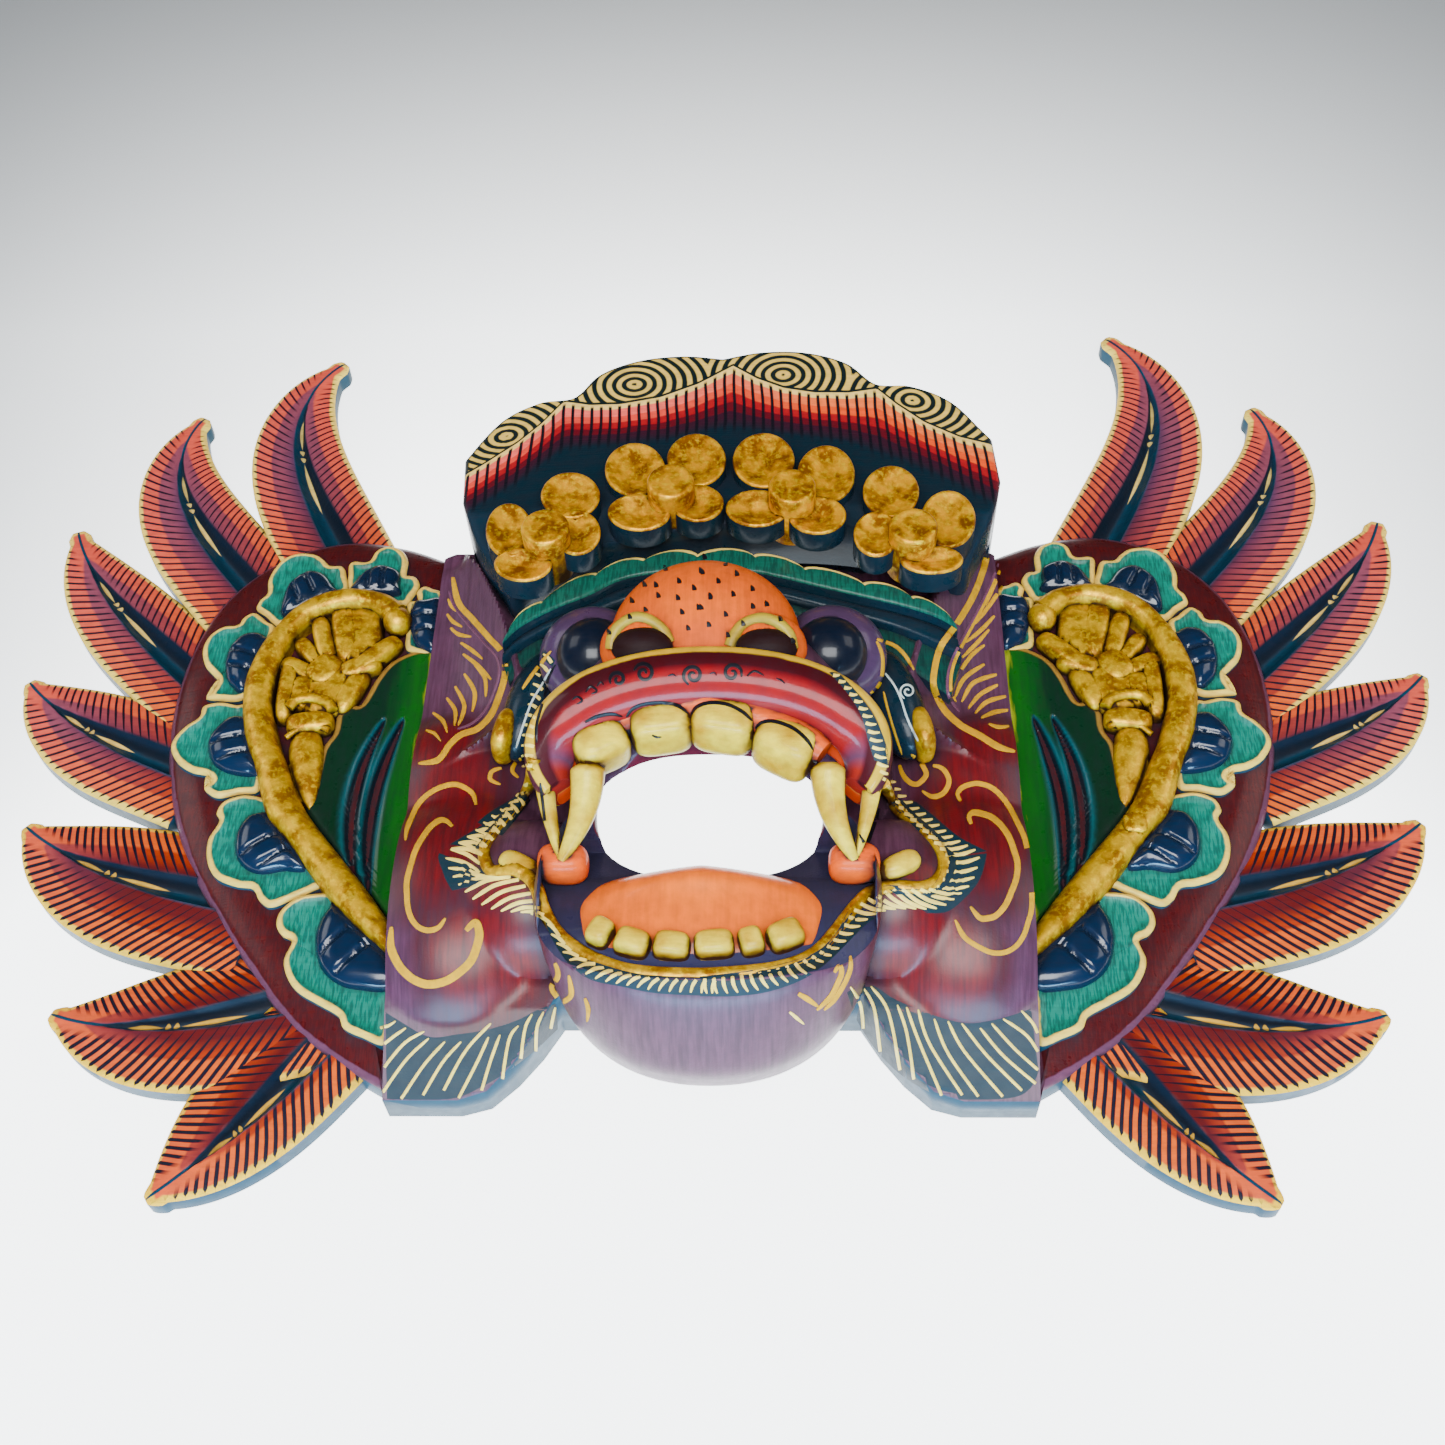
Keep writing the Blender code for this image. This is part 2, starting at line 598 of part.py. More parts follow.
def add_rim(group):
    """Raised gold rim around the mouth, under the upper lip on both sides."""
    half = [Vector(corner) * MM for corner in mouth_rim()]
    whole = half + [Vector((-corner.x, corner.y, corner.z)) for corner in reversed(half[:-1])]
    rod("rim", group, whole, [RIM_RADIUS] * len(whole), 0)


def add_trinkets(group):
    """Gold drop at each ear and the carved corner beside each eye."""
    for side in (LEFT, RIGHT):
        ball("earring", group, (side * 68, -38, 41), (4.5, 11, 9), side * 0.2, 6, 4)
        ball("temple", group, (side * 60, -22, 36), (9, 22, 14), side * 0.25, 8, 4)


def add_hollows(group):
    """The hollow of the back, the open mouth and the nostrils."""
    back = [oval(0 + y * 1j, HOLLOW_HALF_WIDTH - inset, half_length, z, 16, 3.0)
            for y, inset, half_length, z in ((-12, 0, 62, -6), (-12, 6, 56, HOLLOW_DEPTH * 0.6),
                                             (-10, 18, 44, HOLLOW_DEPTH))]
    loft("back_hollow", group, back)
    throat = [oval(0 + y * 1j, MOUTH_HALF_WIDTH + extra, half_length, z, 20, 2.6)
              for y, extra, half_length, z in ((-44, 12, 34, -8), (-55, 7, 32, 25), (-72, 1, 24, 52),
                                               (-90, 2, 31, 64), (-92, 4, 34, 90), (-93, 6, 34, 110))]
    loft("throat", group, throat)
    floor = ((-139, RIM_DEPTH + 1), (-128, RIM_DEPTH - 6), (-96, RIM_DEPTH - 16), (-84, RIM_DEPTH - 19),
             (-78, RIM_DEPTH - 2), (-90, LIP_DEPTH + 7), (-139, LIP_DEPTH + 7))
    loft("mouth", group, [[Vector((x, y, z)) * MM for y, z in floor] for x in (-50, 50)])
    for side in (LEFT, RIGHT):
        ball("nostril", group, (NOSE_SHIFT + side * 19, -36, NOSE_DEPTH - 5),
             (NOSTRIL_RADIUS, NOSTRIL_RADIUS * 0.9, 7), 0, 8, 4)


def build_face():
    """Face, crown and jaws, carved from one block."""
    body = guide_group("face forms")
    hollows = guide_group("face hollows")
    details = guide_group("face details")
    trimmed = guide_group("face saw cuts")
    cheek = [complex(60, 30), complex(60, -100)]
    face = plate("face", mask, mirrored(cheek), -5, 24)
    add_board(body)
    add_crown(body)
    add_brow(body)
    add_flowers(body)
    add_muzzle(body)
    add_cheeks(body)
    add_eyes(body)
    add_nose(body)
    add_upper_lip(body)
    add_trinkets(body)
    add_hollows(hollows)
    add_teeth(details)
    add_rim(details)
    for side in (LEFT, RIGHT):
        saw = rectangle(FACE_HALF_WIDTH, 2 * FACE_HALF_WIDTH, SAW_REACH, EAR_TOP)
        plate("saw_side", trimmed, saw, -SAW_DEPTH, LIP_DEPTH, side)
    back = rectangle(-2 * FACE_HALF_WIDTH - SAW_DEPTH, 2 * FACE_HALF_WIDTH + SAW_DEPTH, SAW_REACH + SAW_DEPTH)
    plate("saw_back", trimmed, back, 1 - SAW_DEPTH, 0)
    combine(face, "UNION", body)
    combine(face, "DIFFERENCE", hollows)
    combine(face, "UNION", details)
    combine(face, "DIFFERENCE", trimmed)
    paint(face, "face lacquer", (0.23, 0.03, 0.05), 0.3)


for old in list(bpy.data.objects):
    bpy.data.objects.remove(old)
mask = bpy.data.collections.new("Barong mask")
bpy.context.scene.collection.children.link(mask)

# The middle of the mask's length lies on the origin
ends = [[point + heading * 1j * reach for point, heading, towards, away in
         feather_stations(*sizes, [index / 60 for index in range(61)]) for reach in (towards, -away)]
        for sizes in (wing_feathers(RIGHT)[0], FEATHERS[-1])]
MIDDLE_Y = (max(point.imag for point in ends[0]) + min(point.imag for point in ends[1])) / 2
frame = bpy.data.objects.new("mask frame", None)
mask.objects.link(frame)
frame.location.y = -MIDDLE_Y * MM

build_wing("left_wing", LEFT)
build_wing("right_wing", RIGHT)
build_face()
bpy.context.view_layer.update()
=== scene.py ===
"""The looks of a carved and painted barong mask that lies on its back.

X runs across the mask, Y from chin to crown and Z out of the face. Sizes are in millimetres
and MM turns them into Blender's metres. A point of the plan is a complex number, x + y * 1j.
The points of a wing are measured from its seam with the face.
"""

import json
import math

import bmesh
import bpy
import numpy as np
from mathutils import Matrix, Vector
from mathutils.bvhtree import BVHTree

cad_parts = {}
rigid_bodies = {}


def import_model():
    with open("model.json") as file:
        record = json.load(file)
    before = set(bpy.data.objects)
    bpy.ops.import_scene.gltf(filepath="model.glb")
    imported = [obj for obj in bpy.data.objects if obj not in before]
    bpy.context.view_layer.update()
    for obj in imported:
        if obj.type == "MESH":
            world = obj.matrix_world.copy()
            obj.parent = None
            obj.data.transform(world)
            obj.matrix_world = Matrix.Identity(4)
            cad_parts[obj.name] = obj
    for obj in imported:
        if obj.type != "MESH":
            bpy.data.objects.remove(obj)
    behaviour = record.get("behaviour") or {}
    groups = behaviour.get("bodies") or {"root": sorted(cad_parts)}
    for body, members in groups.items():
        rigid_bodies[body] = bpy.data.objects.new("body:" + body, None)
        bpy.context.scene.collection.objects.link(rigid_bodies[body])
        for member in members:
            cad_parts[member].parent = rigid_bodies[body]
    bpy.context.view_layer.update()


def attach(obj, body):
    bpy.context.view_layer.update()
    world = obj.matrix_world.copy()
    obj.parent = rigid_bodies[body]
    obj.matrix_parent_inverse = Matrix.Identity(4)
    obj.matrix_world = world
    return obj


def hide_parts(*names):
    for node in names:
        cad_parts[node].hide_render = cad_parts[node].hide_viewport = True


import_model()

MM = 0.001
LEFT, RIGHT = -1, 1
SIDES = {"left_wing": LEFT, "right_wing": RIGHT}
FACE_HALF_WIDTH = 100.0
SEAM_GAP = 0.3

# The frame's middle lies on the origin, and the plan's middle lies this far up the mask
MIDDLE_Y = 2.162

# Where the photo was taken from, in the plan's millimetres, and its lens in photo pixels
CAMERA_PLACE = Vector((20.37, -364.75, 518.55))
CAMERA_AZIMUTH = 0.0518
CAMERA_ELEVATION = 0.9599
CAMERA_ROLL = -0.0467
PHOTO_SIZE = 1445.0
FOCAL_PIXELS = 1771.7

# Close views of the photo in which lines were read: their corner in it and their magnification
LEFT_VIEW = (360, 550, 4.356)
RIGHT_VIEW = (700, 550, 4.356)
LOW_LEFT_VIEW = (360, 780, 4.356)
LOW_RIGHT_VIEW = (700, 780, 4.356)
MOUTH_VIEW = (530, 640, 3.92)
CROWN_VIEW = (460, 340, 2.904)
WING_VIEW = (990, 320, 3.409)
BROW_VIEW = (460, 500, 1.407)


def photo_matrix():
    """Place and aim of the photo's camera."""
    back = Vector((math.sin(CAMERA_AZIMUTH) * math.cos(CAMERA_ELEVATION),
                   -math.cos(CAMERA_AZIMUTH) * math.cos(CAMERA_ELEVATION), math.sin(CAMERA_ELEVATION)))
    right = Vector((math.cos(CAMERA_AZIMUTH), math.sin(CAMERA_AZIMUTH), 0))
    up = back.cross(right)
    turned_right = math.cos(CAMERA_ROLL) * right + math.sin(CAMERA_ROLL) * up
    turned_up = math.cos(CAMERA_ROLL) * up - math.sin(CAMERA_ROLL) * right
    matrix = Matrix((turned_right, turned_up, back)).transposed().to_4x4()
    matrix.translation = (CAMERA_PLACE - Vector((0, MIDDLE_Y, 0))) * MM
    return matrix

CAMERA_TURN = np.array(photo_matrix().to_3x3())


def pairs(numbers):
    """Spots of a view from a row of numbers, x and y in turn."""
    return np.array(numbers, float).reshape(-1, 2)


def sight(view, spots):
    """Directions in which the photo's camera sees these spots of a close view."""
    left, top, zoom = view
    across = (left + spots[:, 0] / zoom - PHOTO_SIZE / 2) / FOCAL_PIXELS
    down = (top + spots[:, 1] / zoom - PHOTO_SIZE / 2) / FOCAL_PIXELS
    return np.stack((across, -down, -np.ones(len(spots))), -1) @ CAMERA_TURN.T


def on_level(view, numbers, height):
    """Points of the plan that are seen at these spots if they lie at this height."""
    rays = sight(view, pairs(numbers))
    eye = np.array(CAMERA_PLACE)
    places = eye + rays * ((height - eye[2]) / rays[:, 2])[:, None]
    return places[:, 0] + 1j * places[:, 1]


# Shader arithmetic

class Field:
    """A shader socket that ordinary arithmetic works on."""

    def __init__(self, coat, socket):
        self.coat = coat
        self.socket = socket

    def math(self, operation, *others):
        node = self.coat.node("ShaderNodeMath", operation=operation)
        for slot, value in zip(node.inputs, (self, *others)):
            self.coat.feed(slot, value)
        return Field(self.coat, node.outputs[0])

    def __add__(self, other):
        return self.math("ADD", other)

    def __radd__(self, other):
        return self.math("ADD", other)

    def __sub__(self, other):
        return self.math("SUBTRACT", other)

    def __rsub__(self, other):
        return (self * -1.0).math("ADD", other)

    def __mul__(self, other):
        return self.math("MULTIPLY", other)

    def __rmul__(self, other):
        return self.math("MULTIPLY", other)

    def __truediv__(self, other):
        return self.math("DIVIDE", other)

    def __pow__(self, other):
        return self.math("POWER", other)

    def clamped(self, top=1.0):
        return self.math("MAXIMUM", 0.0).math("MINIMUM", top)

    def below(self, edge, soft=0.25):
        """1 where the field is below the edge and 0 above it, with a soft step between."""
        return ((edge - self) / (2 * soft) + 0.5).clamped()

    def above(self, edge, soft=0.25):
        return 1.0 - self.below(edge, soft)


class Coat:
    """A lacquered paint made of shader nodes."""

    def __init__(self, name):
        self.material = bpy.data.materials.new(name)
        self.material.use_nodes = True
        self.tree = self.material.node_tree
        self.surface = self.tree.nodes["Principled BSDF"]

    def node(self, kind, **settings):
        node = self.tree.nodes.new(kind)
        for name, value in settings.items():
            setattr(node, name, value)
        return node

    def feed(self, slot, value):
        if isinstance(value, Field):
            self.tree.links.new(value.socket, slot)
        elif isinstance(value, tuple):
            slot.default_value = (*value, 1.0)
        else:
            slot.default_value = value

    def attribute(self, name):
        return Field(self, self.node("ShaderNodeAttribute", attribute_name=name).outputs["Fac"])

    def place(self, stretch):
        """The point of the mask, with each direction stretched."""
        scaling = self.node("ShaderNodeVectorMath", operation="MULTIPLY")
        self.tree.links.new(self.node("ShaderNodeTexCoord").outputs["Object"], scaling.inputs[0])
        scaling.inputs[1].default_value = stretch
        return scaling.outputs[0]

    def spot(self, scale=1.0 / MM):
        """The three coordinates of the point, in millimetres unless the scale says otherwise."""
        parts = self.node("ShaderNodeSeparateXYZ")
        self.tree.links.new(self.place((scale, scale, scale)), parts.inputs[0])
        return [Field(self, socket) for socket in parts.outputs]

    def noise(self, scale, detail=3.0, stretch=(1.0, 1.0, 1.0)):
        """Soft random spots, this many of them to a metre."""
        node = self.node("ShaderNodeTexNoise")
        node.inputs["Scale"].default_value = scale
        node.inputs["Detail"].default_value = detail
        self.tree.links.new(self.place(stretch), node.inputs["Vector"])
        return Field(self, node.outputs["Fac"])

    def mix(self, share, low, high):
        """The low colour where the share is 0 and the high one where it is 1."""
        node = self.node("ShaderNodeMix", data_type="RGBA")
        for slot, value in zip((node.inputs[0], node.inputs[6], node.inputs[7]), (share, low, high)):
            self.feed(slot, value)
        return Field(self, node.outputs[2])

    def finish(self, colour, roughness=0.32, grime=0.8, grime_colour=(0.012, 0.010, 0.014),
               grain=0.25, gloss=0.08, sheen=0.12, shine=0.12, streak=(60.0, 900.0, 300.0)):
        """Lacquer over the colour: painted shade in the crevices, brush marks and fine grain."""
        crevice = self.attribute("crevice")
        worn = self.noise(260.0, 4.0)
        # Painted shade: crevices, where short rays from each point meet the carving, turn towards the dark
        # colour
        painted_crevice_shade = (crevice * (0.6 + worn * 1.1) * grime).math("MINIMUM", 1.0)
        brush = self.noise(1.0, 3.0, streak)
        # Brush marks and wear: random streaks towards the same dark colour
        shade = self.mix((brush - 0.3) * 0.55 + (worn - 0.5) * 0.5, colour, grime_colour)
        self.feed(self.surface.inputs["Base Color"], self.mix(painted_crevice_shade, shade, grime_colour))
        self.feed(self.surface.inputs["Roughness"], worn * 0.25 + (roughness - 0.12) + painted_crevice_shade * 0.25)
        self.surface.inputs["Specular IOR Level"].default_value = shine
        self.surface.inputs["Coat Weight"].default_value = gloss
        self.surface.inputs["Coat Roughness"].default_value = sheen
        bump = self.node("ShaderNodeBump")
        bump.inputs["Strength"].default_value = grain
        bump.inputs["Distance"].default_value = 0.6 * MM
        self.feed(bump.inputs["Height"], brush * 0.6 + self.noise(1400.0, 2.0) * 0.4 + worn * 0.5)
        self.tree.links.new(bump.outputs[0], self.surface.inputs["Normal"])
        return self.material


# Meshes

def add_object(name, data):
    """A new object in the scene."""
    shape = bpy.data.objects.new(name, data)
    bpy.context.scene.collection.objects.link(shape)
    return shape


class Piece:
    """Closed shells that are gathered into one object of the scene."""

    def __init__(self, name):
        self.name = name
        self.points = []
        self.faces = []
        self.slots = []
        self.fields = {}
        self.materials = []
        self.count = 0

    def add(self, points, faces, materials, **fields):
        """One shell: points in millimetres, faces by index and a material for each face."""
        for material in materials:
            if material not in self.materials:
                self.materials.append(material)
        slot = {material: self.materials.index(material) for material in set(materials)}
        self.faces += [[corner + self.count for corner in face] for face in faces]
        self.slots += [slot[material] for material in materials]
        for name in set(fields) | set(self.fields):
            earlier = self.fields.setdefault(name, [np.zeros(self.count)] if self.count else [])
            earlier.append(np.asarray(fields.get(name, np.zeros(len(points))), float))
        self.points.append(np.asarray(points, float))
        self.count += len(points)

    def polygons(self):
        """All points in metres of the mask's frame, and all faces."""
        points = np.concatenate(self.points) - (0.0, MIDDLE_Y, 0.0)
        return points * MM, self.faces

    def build(self, sharp=40.0):
        """The object, with smooth faces and sharp edges where it turns by more than this angle."""
        points, faces = self.polygons()
        mesh = bpy.data.meshes.new(self.name)
        mesh.from_pydata(points.tolist(), [], faces)
        mesh.polygons.foreach_set("material_index", self.slots)
        for name, parts in self.fields.items():
            layer = mesh.attributes.new(name, "FLOAT", "POINT")
            layer.data.foreach_set("value", np.concatenate(parts))
        form = bmesh.new()
        form.from_mesh(mesh)
        bmesh.ops.recalc_face_normals(form, faces=form.faces)
        form.to_mesh(mesh)
        form.free()
        mesh.shade_smooth()
        mesh.set_sharp_from_angle(angle=math.radians(sharp))
        for material in self.materials:
            mesh.materials.append(material)
        return add_object(self.name, mesh)


def carve(piece, grid, floor, top, wall=None, **fields):
    """A block whose top is a grid of points, with upright walls down to the floor."""
    rows, columns = grid.shape[:2]
    index = np.arange(rows * columns).reshape(rows, columns)
    quads = np.stack((index[:-1, :-1], index[1:, :-1], index[1:, 1:], index[:-1, 1:]), -1)
    quads = quads.reshape(-1, 4)
    rim = np.concatenate((index[0, :-1], index[:-1, -1], index[-1, :0:-1], index[:0:-1, 0]))
    points = grid.reshape(-1, 3)
    feet = points[rim].copy()
    feet[:, 2] = floor
    low = np.arange(len(rim)) + len(points)
    walls = np.stack((rim, np.roll(rim, -1), np.roll(low, -1), low), -1)
    faces = quads.tolist() + walls.tolist() + [low.tolist()]
    materials = [top] * len(quads) + [wall or top] * (len(walls) + 1)
    marks = {name: np.concatenate((values.reshape(-1), values.reshape(-1)[rim]))
             for name, values in fields.items()}
    piece.add(np.concatenate((points, feet)), faces, materials, **marks)


def stack(piece, rings, material, wall_rows=0, wall=None, **fields):
    """A closed skin over rings with equal counts of points. The first rows are its wall."""
    rows, columns = rings.shape[:2]
    index = np.arange(rows * columns).reshape(rows, columns)
    after = np.roll(index, -1, 1)
    quads = np.stack((index[:-1], after[:-1], after[1:], index[1:]), -1).reshape(-1, 4)
    faces = quads.tolist() + [index[0].tolist(), index[-1].tolist()]
    materials = [wall or material] * (wall_rows * columns)
    materials += [material] * (len(quads) - wall_rows * columns)
    materials += [wall or material, material]
    marks = {name: values.reshape(-1) for name, values in fields.items()}
    piece.add(rings.reshape(-1, 3), faces, materials, **marks)


def lay(plan, height, side=RIGHT):
    """Points of the plan at their heights, mirrored for the left side."""
    plan, height = np.broadcast_arrays(plan, height)
    return np.stack((side * plan.real, plan.imag, height), -1)


def smooth(points, spans, closed=False):
    """A Catmull-Rom curve through the points, with this many spans between neighbours."""
    points = np.asarray(points)
    count = len(points)
    last = count if closed else count - 1
    curve = []
    for index in range(last):
        ends = [index - 1, index, index + 1, index + 2]
        places = [end % count if closed else min(max(end, 0), count - 1) for end in ends]
        before, start, end, after = (points[place] for place in places)
        for step in range(spans):
            t = step / spans
            curve.append(0.5 * (2 * start + (end - before) * t
                                + (2 * before - 5 * start + 4 * end - after) * t ** 2
                                + (3 * start - before - 3 * end + after) * t ** 3))
    if not closed:
        curve.append(points[-1])
    return np.array(curve)


def blob(piece, centre, radii, material, turn=0.0, segments=40, rows=20, swell=None, lean=0.0,
         **fields):
    """An ellipsoid turned about Z and leaned about X, whose radius a function may swell."""
    down = np.pi * (np.arange(rows) + 0.5) / rows
    around = 2 * np.pi * np.arange(segments) / segments
    x = np.sin(down)[:, None] * np.cos(around)
    y = np.sin(down)[:, None] * np.sin(around)
    z = np.cos(down)[:, None] * np.ones(segments)
    if swell is not None:
        grow = swell(x, y, z)
        x, y, z = x * grow, y * grow, z * grow
    body = np.stack((x * radii[0], y * radii[1], z * radii[2]), -1)
    spin = np.array(Matrix.Rotation(turn, 3, "Z") @ Matrix.Rotation(lean, 3, "X"))
    stack(piece, body @ spin.T + np.array(centre), material, **fields)


def pad(piece, side, outline, centre, height, floor, material, wall, line=None, rows=16, **fields):
    """A raised form with this outline, in rings that shrink towards its centre.

    The height and the further fields are functions of the plan and of the distance to the line,
    which is the outline itself unless another is given.
    """
    shares = np.concatenate(((1.0, 1.0, 0.99, 0.97, 0.94), np.linspace(0.9, 0.03, rows)))
    plan = centre + (outline - centre)[None] * shares[:, None]
    edge = np.min(abs(plan[..., None] - (outline if line is None else line)), axis=-1)
    level = height(plan, np.min(abs(plan[..., None] - outline), axis=-1))
    level[0] = floor
    marks = {name: field(plan, edge) for name, field in fields.items()}
    stack(piece, lay(plan, level, side), material, 1, wall, edge=edge, **marks)


def evenly(line, count):
    """The line with this many points instead of its own."""
    return np.interp(np.linspace(0, 1, count), np.linspace(0, 1, len(line)), line)


def tube(piece, path, radii, material, sides=16, flat=1.0, **fields):
    """A round bar along the path, whose height is its width times flat."""
    path = np.asarray(path, float)
    radii = np.broadcast_to(np.asarray(radii, float), len(path))
    ahead = np.gradient(path, axis=0)
    ahead /= np.linalg.norm(ahead, axis=1)[:, None]
    across = np.cross(ahead, (0.0, 0.0, 1.0))
    across /= np.linalg.norm(across, axis=1)[:, None]
    up = np.cross(across, ahead)
    angles = 2 * np.pi * np.arange(sides) / sides
    rings = (path[:, None] + radii[:, None, None]
             * (np.cos(angles)[None, :, None] * across[:, None]
                + flat * np.sin(angles)[None, :, None] * up[:, None]))
    stack(piece, rings, material, **fields)


def square(power):
    """A function that swells a ball towards a block with rounded corners."""
    def swell(x, y, z):
        return (abs(x) ** power + abs(y) ** power + abs(z) ** power + 1e-9) ** (-1 / power)
    return swell


# Paints

def plain_coat(name, colour, **finish):
    return Coat(name).finish(colour, **finish)


def gold_coat(name, bright, rubbed):
    """Yellow gold with brown rubbed into it in patches, and brown painted shade in its crevices."""
    coat = Coat(name)
    patches = coat.noise(150.0, 6.0).above(0.50, 0.10)
    flecks = coat.noise(700.0, 3.0).above(0.58, 0.08)
    gold = coat.mix(patches, bright, rubbed)
    gold = coat.mix(flecks * 0.5, gold, (0.92, 0.60, 0.002))
    coat.surface.inputs["Metallic"].default_value = 0.6
    # Strong painted shade in the crevices, in dark brown
    return coat.finish(gold, roughness=0.42, grime=1.7, grime_colour=(0.030, 0.012, 0.004),
                       grain=0.45, gloss=0.0, streak=(300.0, 300.0, 300.0))


# Gold marks in a feather's groove: share of its length, reach in shares and half width
GROOVE_MARKS = ((0.30, 0.13, 0.75), (0.455, 0.012, 0.95), (0.49, 0.012, 0.9), (0.58, 0.07, 0.65))
HATCH_STEP = 3.7


def feather_coat():
    """Cream edge, salmon or orange band, red band and mauve, hatched, with a navy groove that is darker on
    one side as painted shade.
    """
    coat = Coat("feather paint")
    edge = coat.attribute("edge") + (coat.noise(170.0, 2.0) - 0.5) * 1.4
    rib = coat.attribute("rib")
    along = coat.attribute("along")
    share = coat.attribute("share")
    warm = (coat.attribute("warm") + (0.45 - share) * 1.1).clamped()
    groove = coat.attribute("groove")
    inner = coat.mix(warm, (0.075, 0.024, 0.055), (0.085, 0.005, 0.005))
    middle = coat.mix(warm, (0.19, 0.040, 0.062), (0.29, 0.022, 0.001))
    outer = coat.mix(warm, (0.56, 0.062, 0.034), (0.60, 0.078, 0.0005))
    colour = coat.mix(edge.below(14.5, 2.5), inner, middle)
    colour = coat.mix((edge - coat.attribute("warm") * 2.0).below(8.4, 0.5), colour, outer)
    slant = along * (1.0 / HATCH_STEP) - coat.attribute("lift") * 0.24
    ripple = (coat.noise(60.0, 1.0) - 0.5) * 0.35
    line = ((slant + ripple).math("FRACT") - 0.5).math("ABSOLUTE")
    width = coat.attribute("warm") * 0.09 + 0.14
    reach = edge.above(1.1, 0.5) * (edge.below(15.0, 4.0) * 0.75 + 0.25)
    hatch = (width * reach - line).above(0.0, 0.03) * rib.math("ABSOLUTE").above(3.6, 1.2)
    rim = coat.mix(coat.attribute("warm"), (0.80, 0.52, 0.07), (0.74, 0.40, 0.006))
    colour = coat.mix(edge.below(2.1, 0.35), colour, rim)
    colour = coat.mix(hatch, colour, (0.006, 0.004, 0.010))
    depth = (rib.math("ABSOLUTE") / groove).below(1.1, 0.12)
    # Painted shade: one side of the groove is a darker navy than the other
    navy = coat.mix(rib.above(0.4, 0.8), (0.004, 0.034, 0.062), (0.003, 0.008, 0.016))
    colour = coat.mix(depth, colour, navy)
    strokes = None
    for centre, length, width in GROOVE_MARKS:
        place = ((share + rib * 0.006 - centre) / length) ** 2.0
        mark = ((1.0 - place) * width - (rib - 0.1).math("ABSOLUTE")).above(0.0, 0.12)
        strokes = mark if strokes is None else strokes.math("MAXIMUM", mark)
    gold = coat.mix(coat.attribute("warm"), (0.80, 0.56, 0.14), (0.66, 0.36, 0.02))
    colour = coat.mix(strokes * depth, colour, gold)
    return coat.finish(colour, roughness=0.46, grime=0.9, gloss=0.0, shine=0.08)


def edged_coat(name, line_width, line, field, streaks=None, **finish):
    """A field of one colour inside a line of another along the carved edge."""
    coat = Coat(name)
    edge = coat.attribute("edge") + (coat.noise(220.0, 2.0) - 0.5) * 0.9
    colour = field
    if streaks:
        marks = coat.noise(1.0, 4.0, (1500.0, 190.0, 400.0)).above(0.52, 0.06)
        colour = coat.mix(marks * 0.8, field, streaks)
    colour = coat.mix(edge.below(line_width, 0.2), colour, line)
    return coat.finish(colour, **finish)


def leaf_coat():
    """Yellow-green at the seam to dark green, brown-gold at the top, and in the grooves painted shade near
    black with a painted teal highlight along their flanks.
    """
    coat = Coat("leaf paint")
    away = coat.attribute("away") + (coat.noise(1.0, 4.0, (500.0, 60.0, 200.0)) - 0.5) * 9.0
    groove = coat.attribute("groove")
    inward = (away / 16.0).math("MINIMUM", 1.0)
    colour = coat.mix(inward, (0.005, 0.095, 0.003), (0.0015, 0.017, 0.007))
    colour = coat.mix(away.below(1.8, 1.2), colour, (0.40, 0.40, 0.004))
    # Painted highlight in teal along each groove's flanks, and painted shade near black in its depth
    colour = coat.mix(groove.above(0.12, 0.10), colour, (0.003, 0.060, 0.070))
    colour = coat.mix(groove.above(0.42, 0.16), colour, (0.001, 0.005, 0.008))
    colour = coat.mix(coat.attribute("edge").below(2.3, 0.3), colour, (0.30, 0.15, 0.02))
    return coat.finish(colour, roughness=0.30, gloss=0.25, grime=0.5, streak=(700.0, 60.0, 300.0))


CROWN_HATCH_STEP = 3.5
CROWN_RING_STEP = 3.8


def crown_coat():
    """Stripes from cream to dark red under the cusps, with black hatching; gold rings above."""
    coat = Coat("crown paint")
    x = coat.spot()[0]
    band = coat.attribute("band") + (coat.noise(120.0, 2.0) - 0.5) * 0.06
    drop = coat.attribute("drop")
    ring = coat.attribute("ring") + (coat.noise(90.0, 2.0) - 0.5) * 1.0
    right = x.above(8.0, 30.0)
    pale = coat.mix(right, (0.92, 0.12, 0.09), (0.92, 0.16, 0.03))
    coral = coat.mix(right, (0.75, 0.05, 0.03), (0.80, 0.07, 0.005))
    colour = coat.mix(band.above(1.0, 0.10), (0.030, 0.006, 0.016), (0.003, 0.013, 0.022))
    wine = (0.10, 0.004, 0.010)
    red = (0.34, 0.005, 0.010)
    cream = (0.92, 0.62, 0.16)
    for level, paint in ((0.80, wine), (0.64, red), (0.48, coral), (0.32, pale), (0.13, cream)):
        colour = coat.mix(band.below(level, 0.012), colour, paint)
    lean = x * (1.0 / CROWN_HATCH_STEP) - band * 0.25 + (coat.noise(50.0, 1.0) - 0.5) * 0.4
    line = (lean.math("FRACT") - 0.5).math("ABSOLUTE")
    hatch = (0.165 - line).above(0.0, 0.04) * band.below(1.12, 0.10) * band.above(0.05, 0.03)
    colour = coat.mix(hatch, colour, (0.004, 0.004, 0.008))
    circles = ((ring * (1.0 / CROWN_RING_STEP)).math("FRACT") - 0.5).math("ABSOLUTE").below(0.25, 0.05)
    circles = circles * coat.attribute("edge").above(1.6, 0.3) * drop.below(-1.4, 0.2)
    gold = coat.mix(circles, (0.003, 0.010, 0.012), (0.76, 0.50, 0.09))
    colour = coat.mix(drop.below(0.0, 0.15), colour, gold)
    return coat.finish(colour, roughness=0.46, gloss=0.0, shine=0.08)


# Crimson spots of the skin in millimetres: how far from the middle, how far up, and their reach
BLUSH = ((84, -68, 15, 30), (70, -118, 16, 14), (92, -36, 12, 10), (62, -98, 12, 7))


